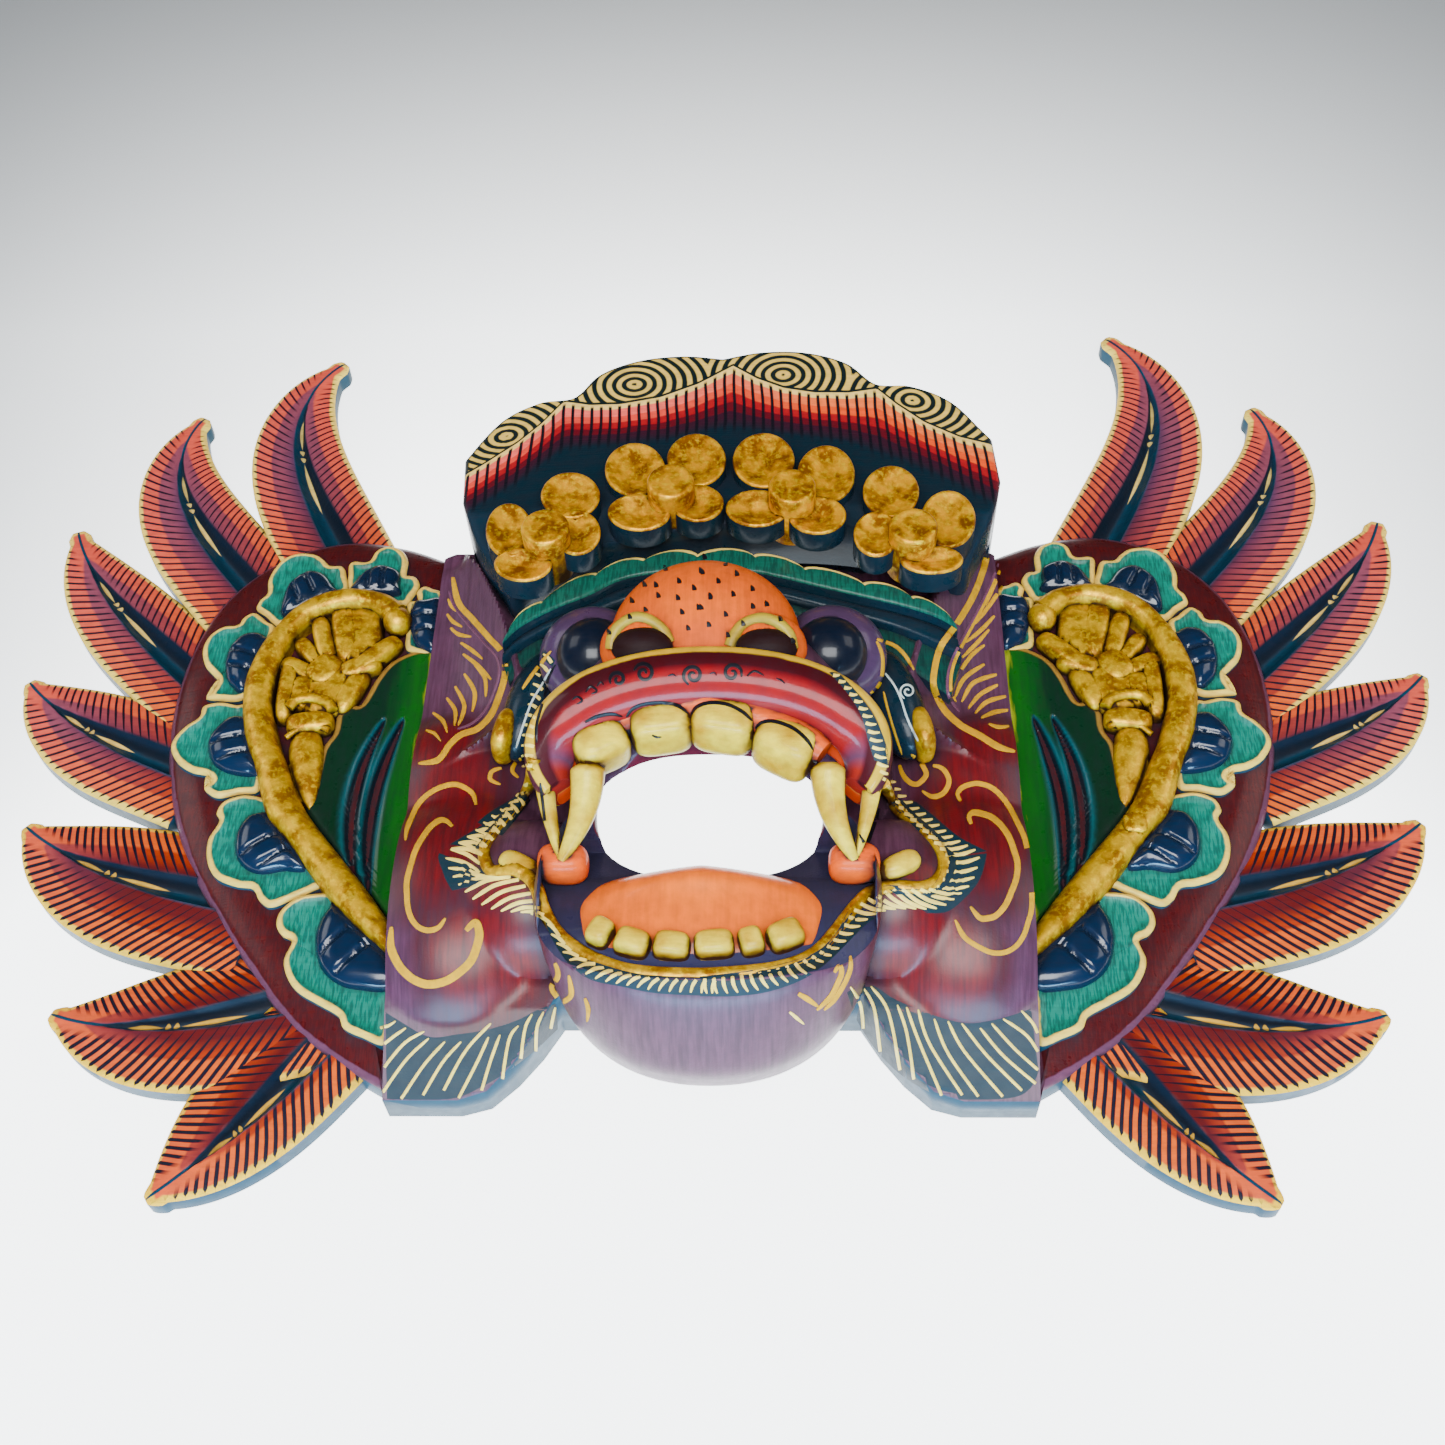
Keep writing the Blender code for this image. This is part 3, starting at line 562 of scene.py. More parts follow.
def skin_coat():
    """Crimson on the cheeks, maroon around it and mauve on the chin and at the edges."""
    coat = Coat("face lacquer")
    x, y = coat.spot()[:2]
    x = x.math("ABSOLUTE")
    patches = (coat.noise(26.0, 4.0) - 0.5) * 1.8
    near = None
    for centre_x, centre_y, reach_x, reach_y in BLUSH:
        spot = ((x - centre_x) / reach_x) ** 2.0 + ((y - centre_y) / reach_y) ** 2.0
        near = spot if near is None else near.math("MINIMUM", spot)
    streaks = coat.noise(1.0, 4.0, (900.0, 70.0, 70.0)).above(0.52, 0.14)
    crimson = coat.mix(streaks, (0.115, 0.003, 0.005), (0.060, 0.003, 0.005))
    maroon = coat.mix(streaks, (0.052, 0.006, 0.011), (0.040, 0.009, 0.018))
    mauve = coat.mix(streaks, (0.078, 0.026, 0.052), (0.050, 0.015, 0.032))
    colour = coat.mix((near + patches).below(0.9, 0.35), maroon, crimson)
    colour = coat.mix((near + patches * 1.2).above(2.1, 0.5), colour, mauve)
    return coat.finish(colour, roughness=0.40, gloss=0.22, shine=0.15, sheen=0.3, streak=(700.0, 60.0, 60.0))


def lip_coat():
    """Maroon top, red front and orange gum, in bands along the lip."""
    coat = Coat("lip paint")
    band = coat.attribute("band") + (coat.noise(110.0, 3.0) - 0.5) * 0.35
    end = coat.attribute("run").math("ABSOLUTE")
    front = coat.mix(band.above(7.6, 0.8), (0.22, 0.003, 0.005), (0.24, 0.006, 0.005))
    front = coat.mix(end.above(0.80, 0.08), front, (0.10, 0.030, 0.055))
    front = coat.mix(end.above(0.92, 0.04), front, (0.26, 0.012, 0.006))
    colour = coat.mix(band.above(6.2, 0.25), (0.040, 0.003, 0.005), front)
    colour = coat.mix(band.below(5.0, 0.10), colour, (0.56, 0.32, 0.004))
    colour = coat.mix(band.below(3.4, 0.15), colour, (0.050, 0.008, 0.016))
    colour = coat.mix(band.above(9.3, 0.12), colour, (0.60, 0.16, 0.02))
    colour = coat.mix(band.above(9.6, 0.12), colour, (0.66, 0.050, 0.001))
    return coat.finish(colour, roughness=0.36, gloss=0.2, shine=0.06, grime=0.6, streak=(200.0, 60.0, 200.0))


def tooth_coat():
    """Yellow cream, with brown painted shade in the crevices."""
    coat = Coat("tooth paint")
    patches = coat.noise(90.0, 5.0).above(0.5, 0.14)
    colour = coat.mix(patches, (0.72, 0.50, 0.020), (0.42, 0.21, 0.002))
    # Strong painted shade in the crevices, in brown
    return coat.finish(colour, roughness=0.3, grime=2.2, grime_colour=(0.040, 0.014, 0.003),
                       streak=(260.0, 900.0, 260.0))


# Each paint's crevice setting sets how much painted shade darkens its crevices
PAINT = {
    "feather": feather_coat(),
    "gold": gold_coat("gold paint", (0.68, 0.36, 0.0004), (0.29, 0.11, 0.0004)),
    "maroon": edged_coat("maroon lacquer", 2.2, (0.10, 0.032, 0.055), (0.042, 0.004, 0.005),
                         (0.066, 0.005, 0.005), roughness=0.30),
    "wall": plain_coat("dark teal edges", (0.008, 0.045, 0.070), roughness=0.4),
    "navy": plain_coat("navy lacquer", (0.002, 0.011, 0.030), roughness=0.22, gloss=0.5, grime=0.6,
                       grain=0.04),
    "dark": plain_coat("dark teal ground", (0.003, 0.013, 0.021), roughness=0.28),
    "lobe": edged_coat("scallop paint", 2.0, (0.74, 0.47, 0.06), (0.006, 0.17, 0.115),
                       (0.003, 0.070, 0.050), roughness=0.34),
    "leaf": leaf_coat(),
    "scallop": edged_coat("brow scallop paint", 1.9, (0.86, 0.60, 0.12), (0.003, 0.085, 0.055),
                          (0.002, 0.035, 0.026), roughness=0.34),
    "fringe": edged_coat("brow leaf paint", 0.6, (0.20, 0.11, 0.01), (0.003, 0.040, 0.030),
                         (0.003, 0.018, 0.016), roughness=0.34),
    "petal": gold_coat("petal gold", (0.78, 0.34, 0.0004), (0.24, 0.075, 0.0004)),
    "crown": crown_coat(),
    "skin": skin_coat(),
    "lid": plain_coat("eyelid lacquer", (0.050, 0.024, 0.060), roughness=0.30, gloss=0.3, grain=0.1),
    "eye": plain_coat("eye lacquer", (0.002, 0.005, 0.013), roughness=0.35, gloss=0.25, grime=0.3,
                      grain=0.04),
    "nose": plain_coat("nose paint", (0.66, 0.090, 0.0005), roughness=0.5, grime=0.9, gloss=0.0,
                       shine=0.08, streak=(900.0, 60.0, 60.0)),
    # Near black: the painted shade of the nostril hollows
    "nostril": plain_coat("nostril painted shade", (0.010, 0.001, 0.001), roughness=0.6, gloss=0.0),
    "nostril_rim": plain_coat("nostril rim paint", (0.36, 0.24, 0.012), roughness=0.4),
    "lip": lip_coat(),
    "tooth": tooth_coat(),
    "gum": plain_coat("gum paint", (0.68, 0.075, 0.0005), roughness=0.4, grime=1.4),
    "tongue": plain_coat("tongue paint", (0.80, 0.13, 0.001), roughness=0.34, grime=0.9, gloss=0.25,
                         streak=(500.0, 60.0, 60.0)),
    "throat": plain_coat("throat lacquer", (0.085, 0.006, 0.018), roughness=0.34, gloss=0.2),
    "line": plain_coat("line gold", (0.52, 0.255, 0.001), roughness=0.45, grime=0.0, gloss=0.0,
                       shine=0.05, streak=(500.0, 500.0, 500.0)),
    "cream": plain_coat("line cream", (0.86, 0.60, 0.10), roughness=0.35, grime=0.0),
    "black": plain_coat("line black", (0.004, 0.004, 0.006), roughness=0.4, grime=0.0),
    "mauve": plain_coat("line mauve", (0.12, 0.042, 0.072), roughness=0.3, grime=0.0),
    "violet": plain_coat("floor violet", (0.020, 0.018, 0.046), roughness=0.3, grime=0.5,
                         streak=(900.0, 90.0, 90.0)),
    "pale": plain_coat("line pale", (0.50, 0.56, 0.52), roughness=0.3, grime=0.0),
    "band": plain_coat("band teal", (0.003, 0.017, 0.026), roughness=0.5, grime=0.0, gloss=0.0, shine=0.2),
}


# Wings: a rim disc, seven curled feathers, seven scallops with beads, a gold ridge and
# foliage and a long green leaf, all cut from one board. The two wings are mirrored.

FEATHERS = (
    (47 + 79j, 56 + 180j, 75, 19, 23), (81 + 61j, 109 + 144.5j, 70, 20, 23),
    (97.5 + 20j, 148 + 84.5j, 27, 19, 20), (96 - 22j, 150 + 12.5j, 28, 21, 22),
    (70.5 - 76.5j, 136.5 - 49j, 30, 23, 27), (36 - 116j, 111.5 - 119.5j, 38, 24, 26),
    (26 - 136j, 68.5 - 180.5j, 18, 25, 18),
)
TOP_FEATHER_RISE = {LEFT: -5j, RIGHT: 5j}
FEATHER_WARMTH = (0.0, 0.0, 0.15, 0.25, 0.85, 1.0, 1.0)
CURL = 2.2
TAPER_START = 2.6
TAPER_END = 0.9
FEATHER_EDGE = 7.5
FEATHER_TUCK = 2.2
FEATHER_TIP_RADIUS = 4.4
MIDRIB_RISE = 2.2
GROOVE_DEPTH = 5.0
GROOVE_HALF_WIDTH = 4.8
GROOVE_END = 0.80

DISC_EDGE = 9.5
DISC_CROWN = 13.0
DISC_RIM = (
    -6 + 62j, 18 + 72.5j, 43 + 75.5j, 68 + 65j, 86 + 42j, 93.5 + 8j, 90 - 30j, 76 - 66j, 52 - 101j,
    29 - 128j, -6 - 150j,
)
LOBE_DEPTH = 16.0
BEAD_DEPTH = 20.0
# Outlines of the right wing's scallops in the wing's view, from the top of the wing to the bottom
LOBES = (
    (20, 930, 65, 895, 95, 888, 118, 908, 115, 935, 150, 950, 150, 1050, 140, 1110, 20, 1110),
    (160, 955, 130, 925, 108, 885, 125, 855, 155, 848, 152, 800, 172, 765, 215, 748, 262, 762, 292, 800,
     352, 803, 360, 840, 350, 905, 260, 940),
    (362, 905, 365, 850, 380, 815, 422, 812, 450, 788, 480, 772, 535, 768, 585, 785, 620, 820, 640, 860,
     642, 905, 668, 930, 677, 960, 642, 985, 600, 1018, 540, 1000, 480, 945),
    (608, 1030, 640, 1000, 680, 972, 718, 985, 740, 1012, 790, 1018, 838, 1048, 862, 1095, 852, 1150, 822,
     1185, 803, 1210, 825, 1250, 843, 1268, 790, 1275, 725, 1275, 670, 1240, 640, 1130),
    (690, 1300, 735, 1290, 790, 1280, 850, 1292, 865, 1330, 910, 1360, 950, 1400, 962, 1440, 935, 1490,
     885, 1522, 830, 1535, 812, 1555, 838, 1575, 826, 1594, 787, 1612, 715, 1600, 640, 1580, 640, 1440),
    (590, 1640, 613, 1617, 695, 1602, 766, 1623, 792, 1663, 782, 1694, 818, 1755, 820, 1827, 787, 1888,
     715, 1919, 654, 1929, 628, 1970, 588, 1992, 511, 1965, 439, 1934, 400, 1900, 520, 1760),
    (370, 1950, 400, 1942, 490, 1955, 552, 2001, 567, 2052, 542, 2093, 511, 2110, 536, 2174, 521, 2236,
     480, 2287, 409, 2328, 337, 2369, 317, 2410, 255, 2440, 140, 2460, 120, 2300, 130, 2140, 250, 2040),
)
# Outlines of the beads at the scallops' feet: the first and last spots are the ends of the foot
BEADS = (
    (20, 945, 85, 935, 125, 945, 140, 990, 130, 1060, 100, 1100, 20, 1105),
    (185, 915, 178, 880, 182, 835, 240, 815, 300, 835, 335, 870, 345, 915),
    (400, 920, 408, 880, 445, 840, 500, 832, 560, 868, 585, 920, 575, 985),
    (610, 1090, 635, 1055, 680, 1040, 735, 1058, 775, 1110, 780, 1170, 760, 1220, 700, 1240),
    (670, 1340, 700, 1332, 760, 1335, 820, 1390, 832, 1440, 812, 1490, 760, 1522, 680, 1535, 640, 1520),
    (590, 1680, 613, 1663, 674, 1674, 715, 1725, 722, 1796, 695, 1847, 634, 1873, 552, 1863, 470, 1850),
    (350, 1990, 388, 2001, 419, 2052, 429, 2113, 409, 2195, 358, 2246, 286, 2272, 130, 2275, 120, 2180),
)
RIDGE_DEPTH = 22.5
RIDGE_FOOT = 17.0
# Both edges of the gold ridge in the same view
RIDGE_OUTSIDE = (
    150, 960, 220, 920, 330, 903, 440, 918, 530, 963, 600, 1030, 660, 1110, 700, 1200, 710, 1290, 703,
    1380, 684, 1450, 659, 1510, 613, 1674, 552, 1745, 480, 1837, 409, 1929, 307, 2042, 130, 2185,
)
RIDGE_INSIDE = (
    205, 1030, 235, 995, 290, 968, 380, 970, 450, 992, 520, 1040, 560, 1100, 590, 1180, 603, 1260, 600,
    1330, 575, 1430, 545, 1500, 501, 1612, 450, 1694, 358, 1806, 255, 1929, 153, 2067, 100, 2110,
)
RIDGE_KNOB = (178, 1008)
RIDGE_NAIL = (495, 1712)
LEAF_DEPTH = 15.5
LEAF_CENTRE = 14 - 30j
# The leaf's visible edge, and the border below it that lies under the ridge
LEAF_EDGE = (
    20, 1104, 52, 1106, 120, 1112, 200, 1150, 250, 1210, 280, 1265, 305, 1296, 345, 1288, 380, 1330, 392,
    1392, 430, 1450, 452, 1560,
)
LEAF_BORDER = (500, 1600, 460, 1690, 360, 1806, 255, 1929, 120, 2100)
LEAF_GROOVES = (
    (150, 1350, 200, 1470, 240, 1610, 258, 1780, 250, 1930),
    (215, 1350, 280, 1490, 315, 1640, 318, 1780, 296, 1900),
)
FOLIAGE_DEPTH = 18.0
# Foot, tip and half width of each finger of the gold foliage in the same view
FOLIAGE_FINGERS = (
    (400, 1150, 432, 1290, 88), (300, 1150, 300, 975, 72), (345, 1130, 372, 972, 48),
    (415, 1140, 450, 1006, 36), (440, 1160, 518, 1072, 32), (470, 1190, 566, 1146, 34),
    (545, 1150, 570, 1335, 34), (330, 1185, 182, 1078, 36), (300, 1190, 372, 1300, 40),
    (500, 1210, 520, 1290, 46), (360, 1180, 250, 1150, 40), (455, 1200, 400, 1150, 60),
)
FOLIAGE_COLLAR = (392, 1322, 410, 1296, 460, 1280, 515, 1284, 545, 1312)
FOLIAGE_BAND = (400, 1388, 440, 1374, 505, 1382, 552, 1412)
FOLIAGE_BUD = (410, 1352, 535, 1362)
FOLIAGE_LEAF = (482, 1378, 485, 1450, 478, 1540, 462, 1650)
# Where the walls of the scallops, beads and leaf end, inside the rim disc
FORM_FOOT = 8.0
RIDGE_WALL_FOOT = 9.0


def seam(point):
    """A wing's point on the mask's own plan, no nearer to the middle than the seam."""
    point = np.asarray(point)
    return np.maximum(point.real, 0.0) + 1j * point.imag + FACE_HALF_WIDTH + SEAM_GAP


def feather_stations(root, tip, curl, towards, away, shares):
    """Midrib point, heading and both half widths of a feather at each share of its length."""
    fine = 400
    middles = (np.arange(fine) + 0.5) / fine
    steps = np.exp(1j * math.radians(curl) * middles ** CURL) / fine
    path = np.concatenate(([0], np.cumsum(steps)))
    fit = (tip - root) / path[-1]
    place = np.clip(shares, 0, 1)
    point = np.interp(place, np.linspace(0, 1, fine + 1), path)
    point = point + np.minimum(shares, 0)
    heading = np.exp(1j * math.radians(curl) * place ** CURL) * fit / abs(fit)
    fall = (1 - place ** TAPER_START) ** TAPER_END
    return (root + point * fit, heading, np.maximum(towards * fall, FEATHER_TIP_RADIUS),
            np.maximum(away * fall, FEATHER_TIP_RADIUS), abs(fit))


def add_feather(piece, sizes, side, warmth):
    """A leaf-shaped feather with raised halves and a tapered groove along its midrib."""
    shares = np.concatenate((np.linspace(-0.3, 0.7, 60), np.linspace(0.71, 1.0, 36)))
    point, heading, towards, away, length = feather_stations(*sizes, shares)
    spread = np.sign(np.linspace(-1, 1, 49)) * abs(np.linspace(-1, 1, 49)) ** 1.1
    width = np.where(spread < 0, away[:, None], towards[:, None])
    across = width * spread
    share = np.broadcast_to(shares[:, None], across.shape)
    rounding = np.sqrt(np.clip((1.006 - share) * length / 4.0, 0.02, 1.0))
    plan = seam(point[:, None] + heading[:, None] * 1j * across * np.where(share > 0.9, rounding, 1.0))
    edge = np.minimum(width * (1 - abs(spread)), (1 - share) * length * 0.8)
    groove = np.maximum(GROOVE_HALF_WIDTH * (1 - np.clip(share / GROOVE_END, 0, 1) ** 1.5), 0.5)
    crest = MIDRIB_RISE * (1 - np.clip(share, 0, 1) ** 3)
    body = np.clip((abs(across) - groove) / (width - groove + 1e-6), 0, 1)
    tuck = np.where(across > 0, FEATHER_TUCK, 0.0)
    height = FEATHER_EDGE + crest * (1 - body ** 1.3) - tuck * body ** 2 * (1 - share)
    hollow = GROOVE_DEPTH * np.clip(1 - (np.clip(share, 0, 1) / GROOVE_END) ** 3, 0, 1)
    height = height - hollow * (1 - np.clip(abs(across) / groove, 0, 1) ** 1.6)
    height = height - 1.1 * np.exp(-edge / 0.7)
    carve(piece, lay(plan, height, side), 0.0, PAINT["feather"], PAINT["wall"],
          edge=edge, rib=across, along=share * length, share=share, groove=groove,
          lift=abs(across), warm=np.full(across.shape, warmth))


def wing_plan(numbers, height):
    """Spots of the wing's view as points of the plan, measured from the seam."""
    return on_level(WING_VIEW, numbers, height) - FACE_HALF_WIDTH - SEAM_GAP


def add_lobe(piece, numbers, side):
    """A dished scallop with a raised line along its edge."""
    outline = smooth(seam(wing_plan(numbers, LOBE_DEPTH)), 8, True)

    def height(plan, edge):
        return LOBE_DEPTH - 1.6 * np.exp(-edge / 0.7) - 1.3 * np.clip((edge - 1.9) / 1.6, 0, 1)

    pad(piece, side, outline, outline.mean(), height, FORM_FOOT, PAINT["lobe"], PAINT["wall"])


def add_bead(piece, numbers, side):
    """A round navy bead with two grooves that run out from its foot."""
    outline = seam(wing_plan(numbers, BEAD_DEPTH - 3))
    middle = (outline[0] + outline[-1]) / 2
    along = (outline[-1] - outline[0]) / 2
    reach = max(abs(outline - middle))

    def height(plan, edge):
        rise = np.sqrt(1 - (1 - np.clip(edge / 6.5, 0, 1)) ** 2)
        off = ((plan - middle) / along).real * abs(along)
        cut = sum(np.exp(-((off - place * abs(along)) / 0.9) ** 2) for place in (-0.32, 0.30))
        return BEAD_DEPTH - 5.5 + 5.5 * rise - 1.2 * cut * np.clip(edge / 2 - 0.4, 0, 1)

    outline = smooth(outline, 8, True)
    centre = middle + (outline.mean() - middle) * min(reach / 20, 0.8)
    pad(piece, side, outline, centre, height, FORM_FOOT, PAINT["navy"], None, rows=22)


def add_disc(piece, side):
    """The wing's rim disc, which rises a little from its edge."""
    rim = seam(smooth(DISC_RIM, 14))

    def height(plan, edge):
        rise = (DISC_CROWN - DISC_EDGE) * np.clip(edge / 10, 0, 1) ** 0.8
        return DISC_EDGE - 1.5 * np.exp(-edge / 0.8) + rise

    pad(piece, side, rim, seam(35 - 25j), height, 0.0, PAINT["maroon"], PAINT["wall"])


def add_leaf(piece, side):
    """The long green leaf beside the seam, with two deep grooves."""
    edge_line = smooth(seam(wing_plan(LEAF_EDGE, LEAF_DEPTH)), 8)
    border = smooth(seam(wing_plan(LEAF_BORDER, LEAF_DEPTH)), 6)
    low, high = border[-1], edge_line[0]
    side_line = FACE_HALF_WIDTH + SEAM_GAP + 1j * np.linspace(low.imag, high.imag, 40)
    grooves = [smooth(seam(wing_plan(numbers, LEAF_DEPTH)), 12) for numbers in LEAF_GROOVES]

    def depth(plan, edge):
        widths = [0.3 + 2.3 * np.sin(np.pi * np.linspace(0, 1, len(path))) ** 0.7 for path in grooves]
        near = [np.min(abs(plan[..., None] - path) / width, axis=-1)
                for path, width in zip(grooves, widths)]
        return sum(np.exp(-distance ** 2) for distance in near)

    def height(plan, edge):
        return LEAF_DEPTH - 1.5 * np.exp(-edge / 0.9) - 3.0 * depth(plan, edge)

    def away(plan, edge):
        return plan.real - FACE_HALF_WIDTH - SEAM_GAP

    outline = np.concatenate((edge_line, border, side_line))
    pad(piece, side, outline, complex(seam(LEAF_CENTRE)), height, FORM_FOOT, PAINT["leaf"],
        PAINT["wall"], edge_line, 60, away=away, groove=depth)


def add_foliage(piece, side):
    """Gold palmette inside the ridge: a fan of fingers, a banded collar, a bud and a long leaf."""
    def mirrored_blob(foot, tip, half_width, tall, top):
        middle = (foot + tip) / 2
        length = abs(tip - foot) / 2 + half_width * 0.5
        angle = math.atan2((tip - foot).imag, side * (tip - foot).real)
        blob(piece, (side * middle.real, middle.imag, top - tall), (length, half_width, tall),
             PAINT["gold"], angle, 32, 18, square(3.6))

    scale = 1 / (WING_VIEW[2] * 2.9)
    for index, (*ends, half_width) in enumerate(FOLIAGE_FINGERS):
        foot, tip = seam(wing_plan(ends, FOLIAGE_DEPTH))
        top = FOLIAGE_DEPTH + 0.8 + 0.35 * (index % 4)
        mirrored_blob(foot, tip, half_width * scale, 5.0, top)
    for line, radius, top in ((FOLIAGE_COLLAR, 2.0, 20.5), (FOLIAGE_BAND, 1.0, 19.0)):
        path = smooth(seam(wing_plan(line, FOLIAGE_DEPTH)), 8)
        tube(piece, lay(path, top - radius, side), radius, PAINT["gold"], 14)
    foot, tip = seam(wing_plan(FOLIAGE_BUD, FOLIAGE_DEPTH))
    mirrored_blob(foot, tip, 4.2, 5.0, 20.0)
    run = np.linspace(0, 1, 40)
    path = smooth(seam(wing_plan(FOLIAGE_LEAF, FOLIAGE_DEPTH - 1)), 13)
    radii = 6.3 * np.clip(np.sin(np.pi * (0.15 + 0.85 * run)), 0.06, 1) ** 0.7
    tube(piece, lay(path, 14.5, side), radii, PAINT["gold"], 20, 0.75)


def add_ridge(piece, side):
    """Raised gold ridge that curls in to a knob at the top and runs down to the seam."""
    run = np.linspace(0, 1, 260)
    outside, inside = (evenly(smooth(seam(wing_plan(line, RIDGE_FOOT + 2)), 12), len(run))
                       for line in (RIDGE_OUTSIDE, RIDGE_INSIDE))
    u = np.sin(np.linspace(-1, 1, 15) * np.pi / 2)
    plan = (outside + inside)[:, None] / 2 + (outside - inside)[:, None] / 2 * u
    level = RIDGE_FOOT + (RIDGE_DEPTH - RIDGE_FOOT) * np.sqrt(np.clip(1 - abs(u) ** 2.6, 0, 1))
    level = level + 0.25 * np.sin(run * 60)[:, None] * (1 - abs(u))
    carve(piece, lay(plan, level, side), RIDGE_WALL_FOOT, PAINT["gold"])
    knob = complex(seam(wing_plan(RIDGE_KNOB, RIDGE_FOOT + 2))[0])
    blob(piece, (side * knob.real, knob.imag, 17.5), (5.2, 5.6, 5.6), PAINT["gold"], segments=32)
    if side == RIGHT:
        nail = complex(seam(wing_plan(RIDGE_NAIL, RIDGE_DEPTH))[0])
        blob(piece, (nail.real, nail.imag, RIDGE_DEPTH - 0.9), (3.9, 3.6, 1.7), PAINT["gold"],
             segments=32, rows=16, swell=square(4.0))


def make_wing(name, side):
    """One wing, which only its top feather and its nail tell from the other."""
    piece = Piece(name + "_carving")
    for index, sizes in enumerate(FEATHERS):
        root, tip, *rest = sizes
        rise = TOP_FEATHER_RISE[side] if index == 0 else 0
        add_feather(piece, (root, tip + rise, *rest), side, FEATHER_WARMTH[index])
    add_disc(piece, side)
    for lobe in LOBES:
        add_lobe(piece, lobe, side)
    for bead in BEADS:
        add_bead(piece, bead, side)
    add_leaf(piece, side)
    add_foliage(piece, side)
    add_ridge(piece, side)
    return piece


# Face: one block with a flowered crown, stepped brow, eyes, nose, open mouth, cheeks and ears.

CROWN_TILT = 3.5
CROWN_SHIFT = 4.5
CROWN_PIVOT = 80j
SLOPE_Y = (10, 36, 47, 65, 100, 137, 160)
SLOPE_DEPTH = (53, 59, 61, 57, 49, 44, 42)
CROWN_TOP = (137j, 15 + 140j, 32 + 138.5j, 47 + 131j, 57 + 118j, 71 + 116.5j, 85 + 107j, 96 + 86j)
CROWN_SIDE = (95 + 60j, 90 + 43j, 82 + 28j, 76 + 20j, 60 + 29j, 40 + 35.5j, 20 + 38.5j, 39.5j)
# Cusped edge of the painted stripes, and the line where they fade out
CUSPS = (
    (-97, 64), (-84, 76), (-73, 88), (-65, 100), (-58, 112), (-48, 109), (-37, 109), (-22, 113),
    (-8, 121), (5, 132), (14, 124), (24, 118), (36, 115), (48, 115), (59, 118), (66, 109), (76, 99),
    (88, 91), (102, 87),
)
STRIPES_END = (
    (-97, 40), (-80, 56), (-70, 66), (-56, 85), (-37, 86), (-19, 89), (4, 98), (25, 92), (48, 87),
    (68, 76), (86, 63), (102, 50),
)
SPIRALS = (-78 + 93j, -32 + 121j, 24 + 126j, 72 + 112j)
SCALLOPS = 9
# Flowers in the crown's view: the button, then each petal's middle and two radii
FLOWERS = (
    ((245, 538), (142, 550, 68, 80), (320, 448, 86, 68), (182, 648, 84, 50), (338, 555, 70, 66)),
    ((610, 405), (508, 373, 88, 78), (686, 345, 86, 77), (520, 497, 92, 54), (690, 470, 76, 54)),
    ((965, 420), (882, 346, 90, 80), (1063, 386, 84, 84), (863, 485, 92, 54), (1038, 505, 84, 56)),
    ((1318, 535), (1252, 437, 82, 76), (1418, 517, 80, 84), (1210, 560, 67, 66), (1370, 634, 92, 42)),
)
PETAL_RISE = 7.0
BUTTON_RISE = 7.5
BUTTON_RADIUS = 8.0
# Where the scalloped edge of the crown's wall starts to rise, and how high it starts
CROWN_WALL_Y = (50, 54)
CROWN_WALL_FOOT = (38, 0)
BRIM_FOOT = 38.0
EYE_SPREAD = 40.0
NOSE_SHIFT = -2.0
NOSE_DEPTH = 90.0
LIP_DEPTH = 93.0
RIM_DEPTH = 66.0
JAW_Y = -103.0
# The boards at the sides and the ears: places up the mask, and heights or edges there
BOARD_Y = (-152, -127, -119, 60)
BOARD_DEPTH = (12, 25, 27, 25)
EAR_Y = (-46, -32, -18, 0, 20, 38, 56)
EAR_INNER_X = (92, 71, 64, 69, 76, 84, 95)
EAR_CREST_Y = (-50, -44, -32, -18, 0, 20, 38, 56)
EAR_CREST = (20, 34, 42, 45, 45, 44, 41, 34)
EAR_ENDS_Y = (-46, 56)
EAR_OUTER = (27, 24)
# The muzzle's height from its middle outwards
MUZZLE_SHARES = (0, 0.5, 0.78, 0.95, 1.0, 1.05)
MUZZLE_DEPTH = (78, 77, 60, 34, 10, -20)
# Centre and radii of the right cheek, the right temple and the right mouth corner
CHEEKS = (((80, -88, 16), (37, 43, 27)), ((84, -42, 16), (29, 31, 20)), ((56, -90, 26), (25, 27, 24)))
LOW_GROUND = -20.0
BLEND = 1.8
# Right half of the block's outline, from the top of the ear down to the chin
BLOCK_EDGE = (
    86 + 56j, 96 + 56j, 99 + 54.5j, 104 + 50j, 104 - 151j, 77 - 151j, 68 - 148.5j, 60 - 141j, 53 - 132j,
    47 - 122j,
)
# Rings of the jaw: half width, how much shorter it is than the longest, and height
JAW_HALF_LENGTH = 50
JAW_RINGS = (
    (36, 20, 0), (42, 12, 6), (47, 4.5, 18), (49.5, 1, 30), (50, 0.5, 38), (51.5, 4, 48), (52, 8, 56),
    (51, 12, 62), (49, 17, RIM_DEPTH),
)
# Rings of the throat: middle, half width beyond the narrowest, half length and height
THROAT_HALF_WIDTH = 34
THROAT_RINGS = (
    (-44, 12, 34, -8), (-55, 7, 32, 25), (-72, 1, 24, 52), (-90, 2, 31, 64), (-92, 4, 34, 90),
    (-93, 6, 34, 110),
)
# Rings of the hollow behind the face: middle, inset from the widest, half length and height
HOLLOW_HALF_WIDTH = 66
HOLLOW_RINGS = ((-12, 0, 62, -6), (-12, 6, 56, 22), (-10, 18, 44, 36))
# Section through the gap under the upper lip: places up the mask with their heights
GAP_HALF_WIDTH = 50
GAP_SECTION = ((-139, RIM_DEPTH + 1), (-128, 60), (-96, 50), (-84, 47), (-78, 64), (-90, 100), (-139, 100))
